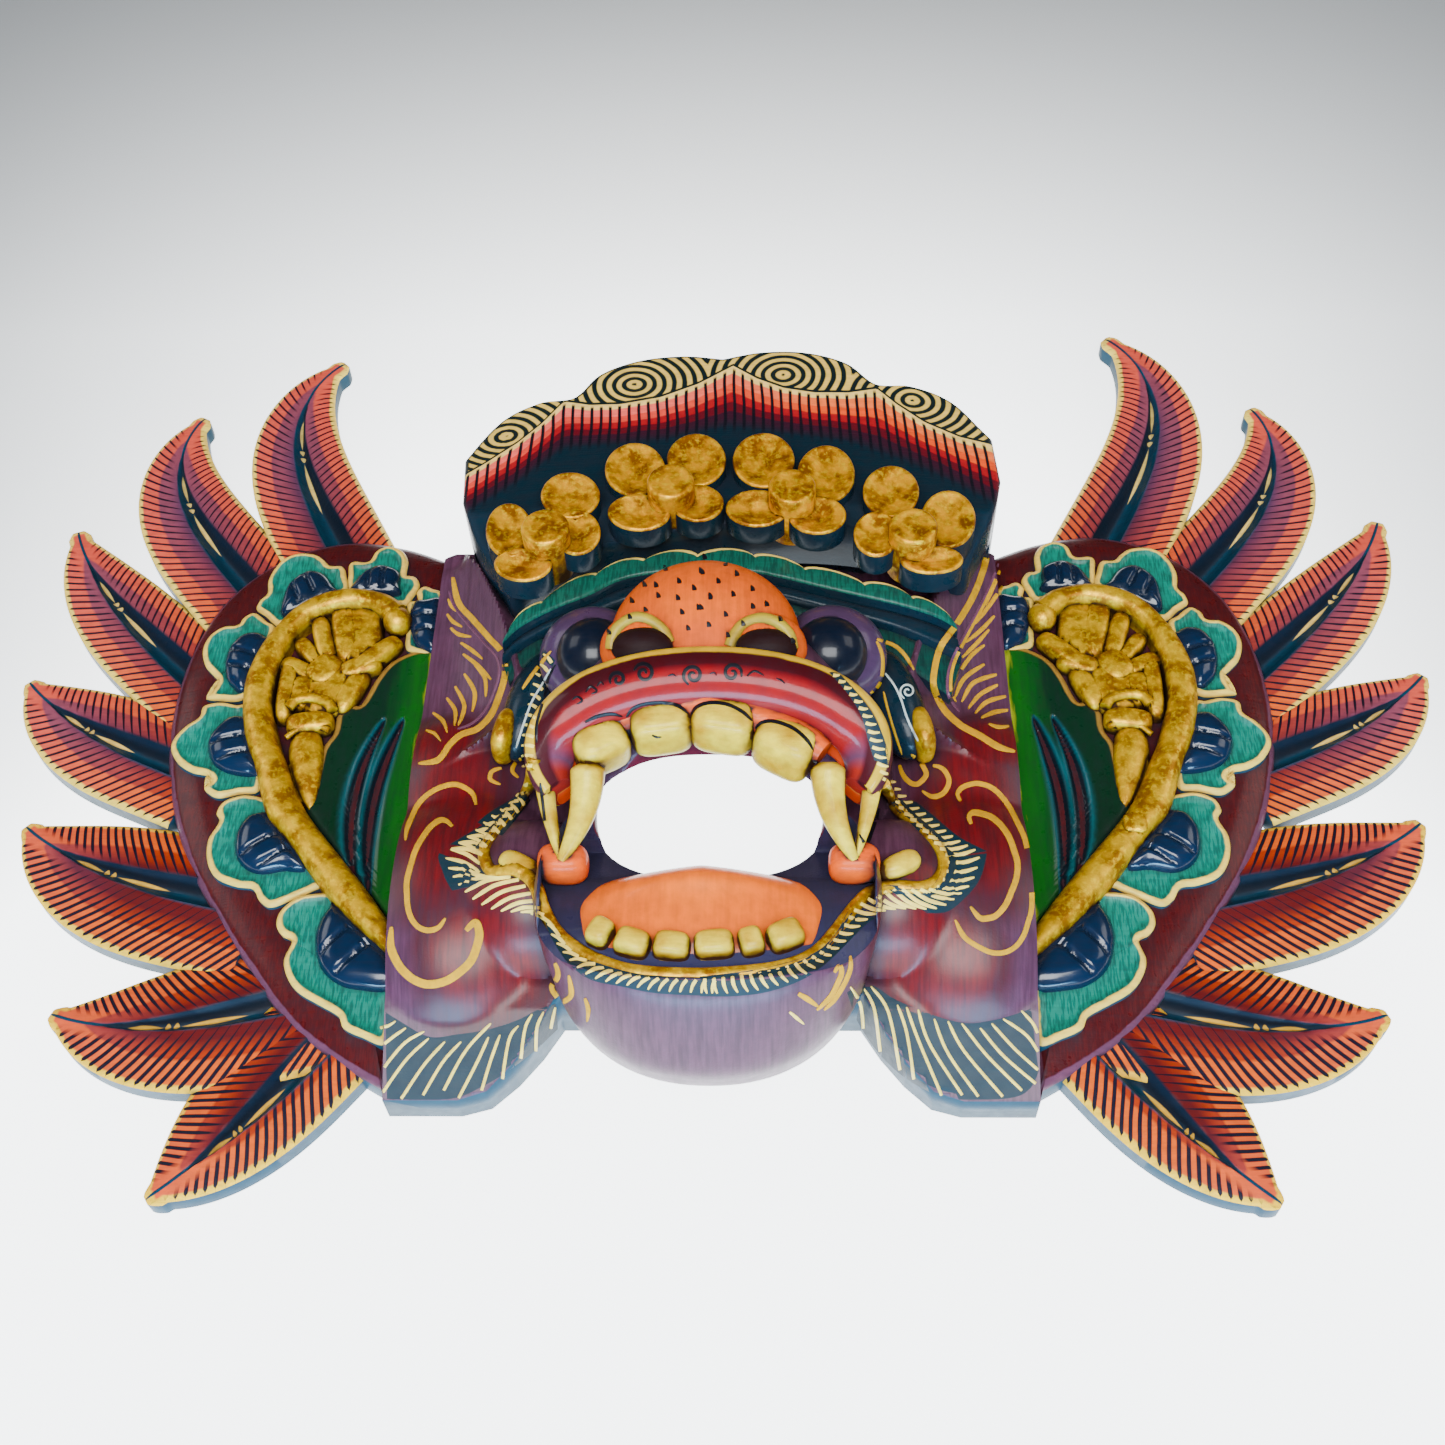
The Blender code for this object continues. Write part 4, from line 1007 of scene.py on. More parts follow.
# Section of the upper lip: how far out of the mouth and how far up each point lies
LIP_SECTION = (
    (3, -14), (8, -9), (9.8, -2), (9.6, 4), (7.8, 7.6), (5, 8.8), (0, 9.3), (-5, 7.2), (-8.6, 2.4),
    (-9.6, -2.6), (-7.6, -4.4), (-8.4, -6.6), (-9.2, -10.5), (-7.0, -13.5), (-2, -15),
)
LIP_REACH_DEGREES = 112
# Upper teeth: place across, half width and lean
UPPER_TEETH = ((-32.5, 8.6, 0.42), (-14.2, 9.6, 0.05), (4.6, 9.8, -0.12), (23.2, 9.6, -0.42))
# Right fangs: root, bend and thickness. All of them end at one tip
FANGS = (((51, -58, 72), 1.5, 3.6), ((36, -70, 76), -2.5, 5.4))
FANG_TIP = (44.0, -95.0, 61.0)
# Lower teeth in the mouth's view: middle of each and its half width
LOWER_TEETH = (
    (272, 1128, 46), (398, 1172, 66), (553, 1184, 68), (720, 1178, 74), (866, 1166, 46), (1000, 1140, 68),
)
# Rows of the tongue: place up the mask, half width, height and fall to the sides
TONGUE = (
    (-88, 8, 42, 1), (-91, 17, 50, 4), (-94, 24, 56, 7), (-97.5, 30, 60, 9), (-102, 34, 62, 10),
    (-107, 36, 62.5, 9), (-114, 35, 62, 6), (-121, 33, 61, 3), (-128, 28, 58, 1),
)
TONGUE_FOOT = 24
# Nostrils: view, middle and rim
NOSTRILS = (
    (LEFT_VIEW, (1225, 392), (1095, 430, 1100, 385, 1130, 335, 1195, 297, 1260, 308, 1318, 352, 1348,
     405)),
    (RIGHT_VIEW, (290, 395), (130, 420, 150, 372, 195, 322, 270, 300, 340, 322, 388, 372, 402, 430)),
)


def dome(x, y, centre, radii):
    """Height of an ellipsoid above each point of the plan, and low ground outside it."""
    inside = 1 - ((x - centre[0]) / radii[0]) ** 2 - ((y - centre[1]) / radii[1]) ** 2
    return np.where(inside > 0, centre[2] + radii[2] * np.sqrt(np.maximum(inside, 0)), LOW_GROUND)


def relief(x, y):
    """Height of cheeks, ears, mouth corners and muzzle, blended into one carved surface."""
    half = abs(x)
    board = np.interp(y, BOARD_Y, BOARD_DEPTH)
    ear_inner = np.interp(y, EAR_Y, EAR_INNER_X)
    ear_high = np.interp(y, EAR_CREST_Y, EAR_CREST)
    ear_low = np.interp(y, EAR_ENDS_Y, EAR_OUTER)
    run = (half - ear_inner) / (FACE_HALF_WIDTH - ear_inner)
    over = np.clip(run, 0, 1)
    dish = ear_high + (ear_low - ear_high) * over ** 0.8 - 3.0 * np.sin(np.pi * over)
    ear = dish - 18 * np.clip(-run * 2.2, 0, 3)
    ear = np.where(y > -50, ear, LOW_GROUND) - 16 * np.clip((y - 44) / 11, 0, 1) ** 2
    reach = ((half / 61) ** 2.4 + (abs(y + 38) / 44) ** 2.4) ** (1 / 2.4)
    muzzle = np.interp(reach, MUZZLE_SHARES, MUZZLE_DEPTH)
    forms = (board, ear, muzzle, *(dome(half, y, centre, radii) for centre, radii in CHEEKS))
    return BLEND * np.log(sum(np.exp(form / BLEND) for form in forms))


def mirrored(half):
    """A whole outline from its right half."""
    return list(half) + [complex(-point.real, point.imag) for point in reversed(half)]


def cutter(name, rings, paint):
    """A closed shape that only cuts and leaves its paint on the cut."""
    piece = Piece(name)
    stack(piece, np.array(rings, float), PAINT[paint])
    shape = piece.build()
    shape.hide_render = True
    return shape


def oval(y, half_width, half_length, z, count=64, power=2.0):
    """A ring at one height, squarer than an ellipse where the power is above 2."""
    angles = 2 * np.pi * np.arange(count) / count
    x, up = np.cos(angles), np.sin(angles)
    reach = (abs(x) ** power + abs(up) ** power) ** (-1 / power)
    return np.stack((x * reach * half_width, y + up * reach * half_length, np.full(count, z)), -1)


def cut(shape, cutters, operation="DIFFERENCE"):
    """Cut the shapes from the object and keep the result as plain mesh."""
    for tool in cutters:
        boolean = shape.modifiers.new(tool.name, "BOOLEAN")
        boolean.operation = operation
        boolean.solver = "MANIFOLD"
        boolean.material_mode = "TRANSFER"
        boolean.object = tool
    bpy.context.view_layer.update()
    graph = bpy.context.evaluated_depsgraph_get()
    carved = bpy.data.meshes.new_from_object(shape.evaluated_get(graph))
    shape.modifiers.clear()
    shape.data = carved


def make_head():
    """Cheeks, ears, muzzle and jaw, with the mouth and the hollow of the back cut out."""
    piece = Piece("head")
    x, y = np.meshgrid(np.linspace(-100, 100, 201), np.linspace(-158, 60, 210), indexing="ij")
    carve(piece, np.stack((x, y, relief(x, y)), -1), 0.0, PAINT["skin"])
    head = piece.build()
    outline = np.array(mirrored(BLOCK_EDGE))
    cut(head, [cutter("outline", [lay(outline, z) for z in (-5.0, 90.0)], "wall")], "INTERSECT")
    jaw = Piece("jaw")
    sides = 96
    rings = [oval(JAW_Y, width, JAW_HALF_LENGTH - back, z, sides, 2.2) for width, back, z in JAW_RINGS]
    rows = smooth(np.array(rings).reshape(len(rings), -1), 5).reshape(-1, sides, 3)
    stack(jaw, rows, PAINT["skin"])
    jaw = jaw.build()
    throat = [oval(y, THROAT_HALF_WIDTH + extra, length, z, power=2.6)
              for y, extra, length, z in THROAT_RINGS]
    back = [oval(y, HOLLOW_HALF_WIDTH - inset, length, z, power=3.0)
            for y, inset, length, z in HOLLOW_RINGS]
    gap = [[(x, y, z) for y, z in GAP_SECTION] for x in (-GAP_HALF_WIDTH, GAP_HALF_WIDTH)]
    tools = [cutter("throat", throat, "throat"), cutter("hollow", back, "wall"),
             cutter("gap", gap, "violet")]
    for shape in (head, jaw):
        cut(shape, tools)
    for tool in list(bpy.data.objects):
        if tool.name in ("outline", "throat", "hollow", "gap"):
            bpy.data.objects.remove(tool)
    return head, jaw


def crown_height(x, y):
    """Height of the crown's sloping face, which falls back towards its ends."""
    return np.interp(y, SLOPE_Y, SLOPE_DEPTH) - 5.0 * np.clip((abs(x) - 40) / 60, 0, 1) ** 1.5


def add_crown(piece):
    """Scalloped crown: painted stripes under a cusped edge, rings of gold above it."""
    lean = np.exp(1j * math.radians(CROWN_TILT))
    corners = np.concatenate((smooth(CROWN_TOP, 14), smooth(CROWN_SIDE, 14)))
    outline = np.concatenate((corners, -corners[::-1].conjugate()))
    outline = CROWN_PIVOT + (outline - CROWN_PIVOT) * lean + CROWN_SHIFT
    centre = CROWN_SHIFT + 84j
    shares = np.concatenate(((0.03, 0.3, 0.6, 0.85, 1.0, 1.0, 0.994, 0.985), np.linspace(0.97, 0.02, 44)))
    plan = centre + (outline - centre)[None] * shares[:, None]
    height = crown_height(plan.real, plan.imag)
    height[5] -= 1.4
    height[6] -= 0.4
    height[:5] = np.interp(plan[:5].imag, CROWN_WALL_Y, CROWN_WALL_FOOT)
    edge = (1 - shares)[:, None] * abs(outline - centre)[None]
    top = np.interp(plan.real, *zip(*CUSPS))
    end = np.interp(plan.real, *zip(*STRIPES_END))
    ring = np.min([abs(plan - spiral) for spiral in SPIRALS], axis=0)
    drop = top - plan.imag
    stack(piece, lay(plan, height), PAINT["crown"], 5, PAINT["dark"], edge=edge,
          band=drop / (top - end), drop=drop, ring=ring)


def strip(piece, upper, lower, height, material, wall, bumps=0, bump_height=0.0):
    """A raised band between two lines of the plan, whose upper edge may be scalloped."""
    run = np.linspace(0, 1, 190)
    high = evenly(smooth(upper, 20), len(run))
    low = evenly(smooth(lower, 20), len(run))
    if bumps:
        high = high + 1j * bump_height * np.sqrt(abs(np.sin(np.pi * bumps * run)) + 0.02)
    across = np.concatenate(((0, 0.04, 0.1), np.linspace(0.2, 0.96, 12), (1.0,)))
    plan = high[:, None] + (low - high)[:, None] * across
    edge = abs(low - high)[:, None] * across
    level = height - 1.2 * np.exp(-edge / 0.6) - 1.0 * np.exp(-(edge[:, -1:] - edge) / 0.8)
    carve(piece, lay(plan, level), BRIM_FOOT, material, wall, edge=edge)


# Lower edges of the brow's steps in the brow's view, from the scalloped edge down, with their heights
BROW_LINES = (
    ((72, 178, 95, 156, 150, 122, 200, 100, 245, 86, 300, 77, 345, 75, 400, 75, 450, 86, 500, 99, 560,
     114, 610, 127, 650, 143, 690, 165), 52),
    ((60, 205, 85, 182, 130, 158, 180, 138, 230, 115, 300, 104, 400, 104, 450, 112, 500, 124, 560, 138,
     620, 152, 670, 168, 700, 185), 50),
    ((60, 228, 88, 204, 130, 182, 190, 160, 240, 142, 300, 130, 400, 130, 450, 138, 500, 150, 560, 166,
     620, 184, 670, 205, 705, 225), 45.5),
    ((70, 262, 95, 235, 130, 212, 170, 190, 240, 166, 300, 155, 400, 152, 450, 158, 500, 172, 560, 195,
     610, 225, 650, 252, 690, 280), 41.5),
)


def add_brow(piece):
    """Below the visor: the scalloped band, the plain band and the leafy fringe over the eyes."""
    cream, teal, navy, fringe = (on_level(BROW_VIEW, line, height) for line, height in BROW_LINES)
    strip(piece, cream, teal, 52.0, PAINT["scallop"], PAINT["dark"], SCALLOPS, 3.0)
    strip(piece, teal, navy, 47.5, PAINT["dark"], PAINT["dark"])
    strip(piece, navy, fringe, 43.5, PAINT["fringe"], PAINT["dark"], 14, 1.6)


def on_crown(spots, rise):
    """Points seen at these spots of the crown's view, this far above the crown, and their height."""
    level = 70.0
    for _ in range(4):
        places = on_level(CROWN_VIEW, spots, level)
        middle = places.mean()
        level = float(crown_height(middle.real, max(middle.imag, 46))) + rise
    return on_level(CROWN_VIEW, spots, level), level


def add_flower(piece, button, *petals):
    """Four dished petals with dark walls around a raised button."""
    middle, button_level = on_crown(button, PETAL_RISE + BUTTON_RISE)
    middle = complex(middle[0])
    around = 2 * np.pi * np.arange(48) / 48
    for x, y, radius_x, radius_y in petals:
        spots = np.stack((x + radius_x * np.cos(around), y + radius_y * np.sin(around)), -1).ravel()
        outline, level = on_crown(spots, PETAL_RISE)
        centre = outline.mean()

        def height(plan, edge):
            return level - 0.9 * np.exp(-edge / 0.4) - 2.2 * np.clip((edge - 1.0) / 7, 0, 1) ** 0.8

        low = crown_height(outline.real, np.maximum(outline.imag, 44)).min() - 2
        pad(piece, RIGHT, outline, centre, height, low, PAINT["petal"], PAINT["dark"], rows=14)
    rim = middle + BUTTON_RADIUS * np.exp(1j * around)

    def button_height(plan, edge):
        return button_level - 1.4 * np.exp(-edge / 0.6) - 0.7 * np.clip((edge - 1) / 2, 0, 1)

    pad(piece, RIGHT, rim, middle, button_height, button_level - 22, PAINT["petal"], None, rows=10)


def add_eyes(piece):
    """Bulging dark eyes in thick mauve lids."""
    for side in (LEFT, RIGHT):
        blob(piece, (side * (EYE_SPREAD - 1), -15, 55), (18.0, 17.5, 13.5), PAINT["lid"],
             segments=56, rows=28, lean=0.5)
        blob(piece, (side * (EYE_SPREAD - 2), -18.5, 61), (12.6, 12.6, 12.8), PAINT["eye"],
             segments=48, rows=28)


def add_nose(piece):
    """Broad round nose with flared sides."""
    blob(piece, (NOSE_SHIFT, -16, NOSE_DEPTH - 26), (31, 27, 27), PAINT["nose"], segments=72, rows=40)
    for side in (LEFT, RIGHT):
        blob(piece, (NOSE_SHIFT + side * 20, -28, NOSE_DEPTH - 13), (12.5, 10.5, 12.5), PAINT["nose"],
             segments=40, rows=24)


def add_nostrils(piece):
    """Two near-black bumps that stand for the shade in the nostril holes, with thick rims, set where the
    photo shows them on the nose.
    """
    for view, spots, rim in NOSTRILS:
        centre = land(view, spots)[0][0]
        # Painted shade: a near-black bump stands for the dark hollow
        blob(piece, centre - (0, 0, 3.5), (9.6, 6.5, 6.0), PAINT["nostril"], segments=36, rows=20)
        path = land(view, smooth_spots(rim, 6))[0]
        tube(piece, steady(path), 2.0, PAINT["nostril_rim"], 12)


def lip_frame(share):
    """Middle of the upper lip at a share from -1 (left end) to 1, and the way out of the mouth."""
    angle = share * math.radians(LIP_REACH_DEGREES)
    middle = np.stack((47 * np.sin(angle) * (1 + 0.04 * share ** 2), -66 + 21 * np.cos(angle),
                       LIP_DEPTH - 10 - 16 * abs(share) ** 2.5), -1)
    ahead = np.gradient(middle[:, 0] + 1j * middle[:, 1])
    outward = 1j * ahead / abs(ahead)
    return middle, outward


def add_upper_lip(piece):
    """Upper lip over the mouth: a gold line on its crest, red front and orange gum below."""
    shares = np.linspace(-1, 1, 101)
    middle, outward = lip_frame(shares)
    profile = smooth([complex(out, up) for out, up in LIP_SECTION], 6)
    fall = 1 - 0.45 * abs(shares) ** 3
    plan = (middle[:, 0] + 1j * middle[:, 1])[:, None] + outward[:, None] * profile.real * fall[:, None]
    height = middle[:, 2:3] + profile.imag * fall[:, None]
    band = np.broadcast_to(np.linspace(0, 14, len(profile)), height.shape)
    run = np.broadcast_to(shares[:, None], height.shape)
    stack(piece, lay(plan, height), PAINT["lip"], band=band, run=run)


def gum_y(x):
    """Where the bowed line of the upper gum lies at this place across."""
    return -57 - 0.009 * (x + 6) ** 2


def add_teeth(piece):
    """Four broad upper teeth in a gum, two pairs of fangs and a row of lower teeth."""
    x = np.linspace(-38, 35, 50)
    gum = np.stack((x, gum_y(x) + 5.5, LIP_DEPTH - 12 - abs(x) * 0.14), -1)
    tube(piece, gum, 5.4 * np.clip(1.3 - abs(x / 40) ** 4, 0.4, 1), PAINT["gum"], 20)
    for x, half_width, slope in UPPER_TEETH:
        blob(piece, (x, gum_y(x) + 0.3, LIP_DEPTH - 15 - abs(x) * 0.12), (half_width, 6.5, 8.6),
             PAINT["tooth"], -0.018 * (x + 6), 48, 30, square(3.8), slope * 0.3)
    for side in (LEFT, RIGHT):
        for start, bend, thick in FANGS:
            run = np.linspace(0, 1, 40)[:, None]
            path = np.array(start) * (1 - run) + np.array(FANG_TIP) * run
            path[:, 0] += bend * np.sin(np.pi * run[:, 0])
            path[:, 0] *= side
            fall = np.clip(1 - run[:, 0] ** 1.6 * 0.72, 0.15, 1) * np.clip(0.5 + run[:, 0] * 8, 0, 1)
            tube(piece, path, thick * fall, PAINT["tooth"], 20)
        blob(piece, (side * 44, -93.0, 55.5), (7.8, 5.6, 6.5), PAINT["gum"], segments=36, rows=20,
             swell=square(3.0))
        blob(piece, (side * 58, -91, 50.5), (7, 3.6, 4.2), PAINT["tooth"], side * 0.5, 32, 18,
             square(2.6))
    for x, y, half_width in LOWER_TEETH:
        place = complex(on_level(MOUTH_VIEW, (x, y), RIM_DEPTH - 2)[0])
        blob(piece, (place.real, place.imag, RIM_DEPTH - 6.5), (half_width / 12.4, 4.3, 6.0),
             PAINT["tooth"], 0.018 * (place.real + 3), 40, 24, square(3.6))


def add_tongue(piece):
    """The tongue: crowned rows from its root to its tip, with a low bump across it."""
    across = np.linspace(-1, 1, 41)
    rows = []
    for y, half, z, fall in TONGUE:
        level = z - fall * abs(across) ** 1.3
        top = np.stack((half * across - 2, np.full(len(across), float(y)), level), -1)
        top[:, 2] += 2.2 * np.exp(-((y + 101) / 5.0) ** 2) * (1 - across ** 2)
        low = top[::-1].copy()
        low[:, 2] = TONGUE_FOOT
        rows.append(np.concatenate((top, low)))
    rows = smooth(np.array(rows).reshape(len(rows), -1), 4).reshape(-1, 2 * len(across), 3)
    stack(piece, rows, PAINT["tongue"])


# The gold line around the mouth in the mouth's view, from its upper left end to its upper right end
RIM_LINE = (
    15, 465, 0, 560, -50, 650, -120, 740, -165, 800, -178, 850, -150, 905, -100, 900, -40, 905, 20, 960,
    55, 1060, 110, 1150, 190, 1215, 290, 1265, 420, 1300, 640, 1312, 860, 1300, 1010, 1275, 1120, 1225,
    1200, 1140, 1270, 1050, 1340, 985, 1430, 965, 1530, 970, 1590, 945, 1618, 890, 1600, 820, 1530, 745,
    1440, 660, 1385, 560,
)


def add_rim(piece):
    """Raised gold line around the mouth, from one end of the upper lip to the other."""
    path = land(MOUTH_VIEW, smooth_spots(RIM_LINE, 6))[0]
    tube(piece, steady(path), 2.1, PAINT["gold"], 14, 0.8)


def add_trinkets(piece):
    """Gold drop at each ear and the dark carved corner beside each eye."""
    for side in (LEFT, RIGHT):
        blob(piece, (side * 68, -36, 41), (3.9, 8.8, 8.5), PAINT["gold"], side * 0.2, 36, 20, square(2.6))
        blob(piece, (side * 60, -22, 39), (9, 22, 11), PAINT["dark"], side * 0.25, 40, 20)


def make_face():
    """Everything that stands out of the head, apart from the nostrils and the mouth's rim."""
    piece = Piece("face_details")
    add_crown(piece)
    add_brow(piece)
    for flower in FLOWERS:
        add_flower(piece, *flower)
    add_eyes(piece)
    add_nose(piece)
    add_upper_lip(piece)
    add_teeth(piece)
    add_tongue(piece)
    add_trinkets(piece)
    return piece


# Brushwork: thin paint laid on the carving along lines that were read in the close views

def gather(pieces, shapes):
    """A search tree over pieces and finished objects, in the plan's millimetres."""
    points, faces = [], []
    for piece in pieces:
        start = len(points)
        points += np.concatenate(piece.points).tolist()
        faces += [[corner + start for corner in ring] for ring in piece.faces]
    for shape in shapes:
        start = len(points)
        points += [(vertex.co / MM + Vector((0, MIDDLE_Y, 0)))[:] for vertex in shape.data.vertices]
        faces += [[corner + start for corner in face.vertices] for face in shape.data.polygons]
    return BVHTree.FromPolygons(points, faces)


def land(view, numbers):
    """Where the camera's rays through these spots meet the carving, and the way out of it there."""
    places, normals = [], []
    for ray in sight(view, pairs(numbers)):
        ray = Vector(ray).normalized()
        place, normal = carving.ray_cast(CAMERA_PLACE, ray)[:2]
        if place is None:
            place, normal = Vector((np.nan,) * 3), -ray
        places.append(place[:])
        normals.append((normal if normal.dot(ray) < 0 else -normal)[:])
    return np.array(places), np.array(normals)


def smooth_spots(numbers, spans, closed=False):
    """More spots on a smooth line through these."""
    return smooth(pairs(numbers), spans, closed).ravel()


def steady(path, window=7):
    """The path without jumps in how far it lies from the camera."""
    away = path - np.array(CAMERA_PLACE)
    reach = np.linalg.norm(away, axis=1)
    half = window // 2
    padded = np.pad(reach, half, mode="edge")
    middles = np.array([np.nanmedian(padded[index:index + window]) for index in range(len(reach))])
    padded = np.pad(middles, half, mode="edge")
    even = np.array([np.mean(padded[index:index + window]) for index in range(len(reach))])
    return np.array(CAMERA_PLACE) + away * (even / reach)[:, None]


def lay_paint(piece, view, spots, paint, rise):
    """A thin closed skin over a grid of spots, broken where the carving steps away."""
    rows, columns = spots.shape[:2]
    places, normals = land(view, spots.reshape(-1))
    places = places.reshape(rows, columns, 3)
    out = normals.reshape(rows, columns, 3).mean(axis=1)
    padded = [np.pad(out[:, axis], 2, mode="edge") for axis in range(3)]
    out = np.stack([np.convolve(column, np.ones(5) / 5, "valid") for column in padded], -1)
    out /= np.linalg.norm(out, axis=1)[:, None]
    reach = np.linalg.norm(places - np.array(CAMERA_PLACE), axis=-1)
    whole = np.isfinite(reach).all(axis=1)
    jump = np.abs(np.diff(reach, axis=1)).max(axis=1) if columns > 1 else np.zeros(rows)
    whole &= ~(jump > STEP_LIMIT)
    follows = np.abs(np.diff(reach[:, columns // 2])) < STEP_LIMIT
    crown = np.sin(np.pi * (np.arange(columns) + 0.5) / columns) * rise
    start = None
    for row in range(rows + 1):
        going = row < rows and whole[row] and (start is None or follows[row - 1])
        if going and start is None:
            start = row
        elif not going and start is not None:
            if row - start >= 3:
                run = slice(start, row)
                top = places[run] + out[run, None] * crown[None, :, None]
                low = (places[run] - out[run, None] * PAINT_SINK)[:, ::-1]
                stack(piece, np.concatenate((top, low), axis=1), PAINT[paint])
            start = row if row < rows and whole[row] else None


def brush_line(numbers, spans=10):
    """A smooth line through these spots as x + y * 1j, and how far along it each point lies."""
    line = smooth(pairs(numbers) @ np.array((1, 1j)), spans)
    return line, np.concatenate(([0], np.cumsum(abs(np.diff(line)))))


def stroke(piece, view, numbers, paint, width, ends=(0.5, 0.3), columns=3, rise=0.22):
    """One stroke of the brush, as wide as this in the view and thinner at its ends."""
    line, travel = brush_line(numbers)
    count = max(int(travel[-1] / STROKE_STEP), 6)
    line = np.interp(np.linspace(0, travel[-1], count), travel, line)
    ahead = np.gradient(line)
    ahead /= abs(ahead)
    run = np.linspace(0, 1, count)
    span = np.minimum(travel[-1], 3 * width) / travel[-1]
    swell = np.minimum(ends[0] + (1 - ends[0]) * np.clip(run / span, 0, 1) ** 0.6,
                       ends[1] + (1 - ends[1]) * np.clip((1 - run) / span, 0, 1) ** 0.6)
    across = np.linspace(-0.5, 0.5, columns) * width
    grid = line[:, None] + ahead[:, None] * 1j * across * swell[:, None]
    lay_paint(piece, view, np.stack((grid.real, grid.imag), -1), paint, rise)


def film(piece, view, one, other, paint, columns=7, rows=90, rise=0.10):
    """Paint that fills the space between two lines."""
    lines = []
    for numbers in (one, other):
        line, travel = brush_line(numbers)
        lines.append(np.interp(np.linspace(0, travel[-1], rows), travel, line))
    share = np.linspace(0, 1, columns)
    grid = lines[0][:, None] * (1 - share) + lines[1][:, None] * share
    lay_paint(piece, view, np.stack((grid.real, grid.imag), -1), paint, rise)


def ticks(piece, view, inner, outer, count, paint, width, skew=0.0, start=0.08, end=0.85):
    """A row of strokes from one line towards another."""
    lines = [brush_line(numbers, 12) for numbers in (inner, outer)]
    for index in range(count):
        share = (index + 0.5) / count
        foot, top = (np.interp(min(max(place, 0), 1) * travel[-1], travel, line)
                     for place, (line, travel) in zip((share, share + skew), lines))
        near, far = foot + (top - foot) * start, foot + (top - foot) * end
        bow = (near + far) / 2 + (far - near) * 0.08j
        stroke(piece, view, (near.real, near.imag, bow.real, bow.imag, far.real, far.imag), paint, width,
               (0.8, 0.35), 3)


def spiral(piece, view, x, y, radius, turns, start, paint, width):
    """A curl that winds in to its middle."""
    run = np.linspace(0, 1, 14)
    angle = start + 2 * np.pi * turns * run
    line = x + 1j * y + radius * (1 - 0.85 * run) * np.exp(1j * angle)
    stroke(piece, view, np.stack((line.real, line.imag), -1).ravel(), paint, width, (0.4, 0.6))


STEP_LIMIT = 5.0
STROKE_STEP = 5.0
PAINT_SINK = 0.35
# Strokes: paint, width in the view and spots
LEFT_STROKES = (
    ("line", 26, (405, 120, 430, 230, 490, 300, 560, 380, 620, 450, 632, 540, 605, 640, 570, 720, 510,
     780, 440, 805, 390, 850, 340, 915, 255, 930)),
    ("mauve", 10, (388, 180, 412, 250, 470, 325, 540, 405, 596, 470, 606, 540, 580, 630, 545, 700, 490,
     755, 425, 780)),
    ("line", 16, (385, 215, 398, 245, 420, 268)),
    ("line", 18, (380, 280, 405, 312, 445, 335)),
    ("line", 18, (395, 340, 430, 368, 485, 378)),
    ("line", 18, (440, 405, 485, 435, 535, 475)),
    ("line", 18, (450, 455, 510, 500, 572, 565)),
    ("line", 18, (455, 540, 500, 620, 490, 705)),
    ("line", 18, (415, 595, 455, 680, 428, 765)),
    ("line", 18, (378, 645, 415, 700, 412, 765)),
    ("line", 18, (318, 710, 362, 745, 380, 795)),
    ("line", 16, (288, 786, 325, 800, 352, 832)),
    ("line", 16, (500, 500, 545, 560, 548, 640)),
    ("line", 20, (615, 950, 575, 965, 568, 1000, 612, 1022)),
    ("line", 20, (702, 908, 672, 935, 664, 965, 690, 992)),
    ("line", 15, (708, 605, 735, 565, 762, 528, 832, 440)),
    ("pale", 9, (832, 518, 790, 590, 748, 662, 712, 760, 680, 862)),
    ("black", 12, (852, 498, 820, 560, 800, 650, 770, 760, 770, 840)),
)
LOW_LEFT_STROKES = (
    ("line", 22, (505, 108, 490, 60, 445, 28, 400, 20, 345, 35, 300, 60, 255, 105, 225, 165, 205, 215,
     198, 262)),
    ("line", 24, (402, 202, 378, 180, 350, 175, 312, 200, 280, 240, 245, 300, 222, 370, 205, 440, 205,
     505, 210, 560, 228, 610, 262, 645, 305, 655, 345, 640, 372, 602)),
    ("line", 36, (462, 656, 485, 632, 508, 622, 520, 670, 510, 722, 485, 785, 440, 832, 375, 875, 300,
     890, 240, 872, 190, 832, 155, 780, 135, 722, 138, 640)),
    ("line", 22, (850, 798, 862, 830, 860, 862, 835, 900, 850, 935, 880, 962, 905, 955, 922, 928, 910,
     850)),
    ("line", 20, (980, 950, 995, 1000, 990, 1052)),
)
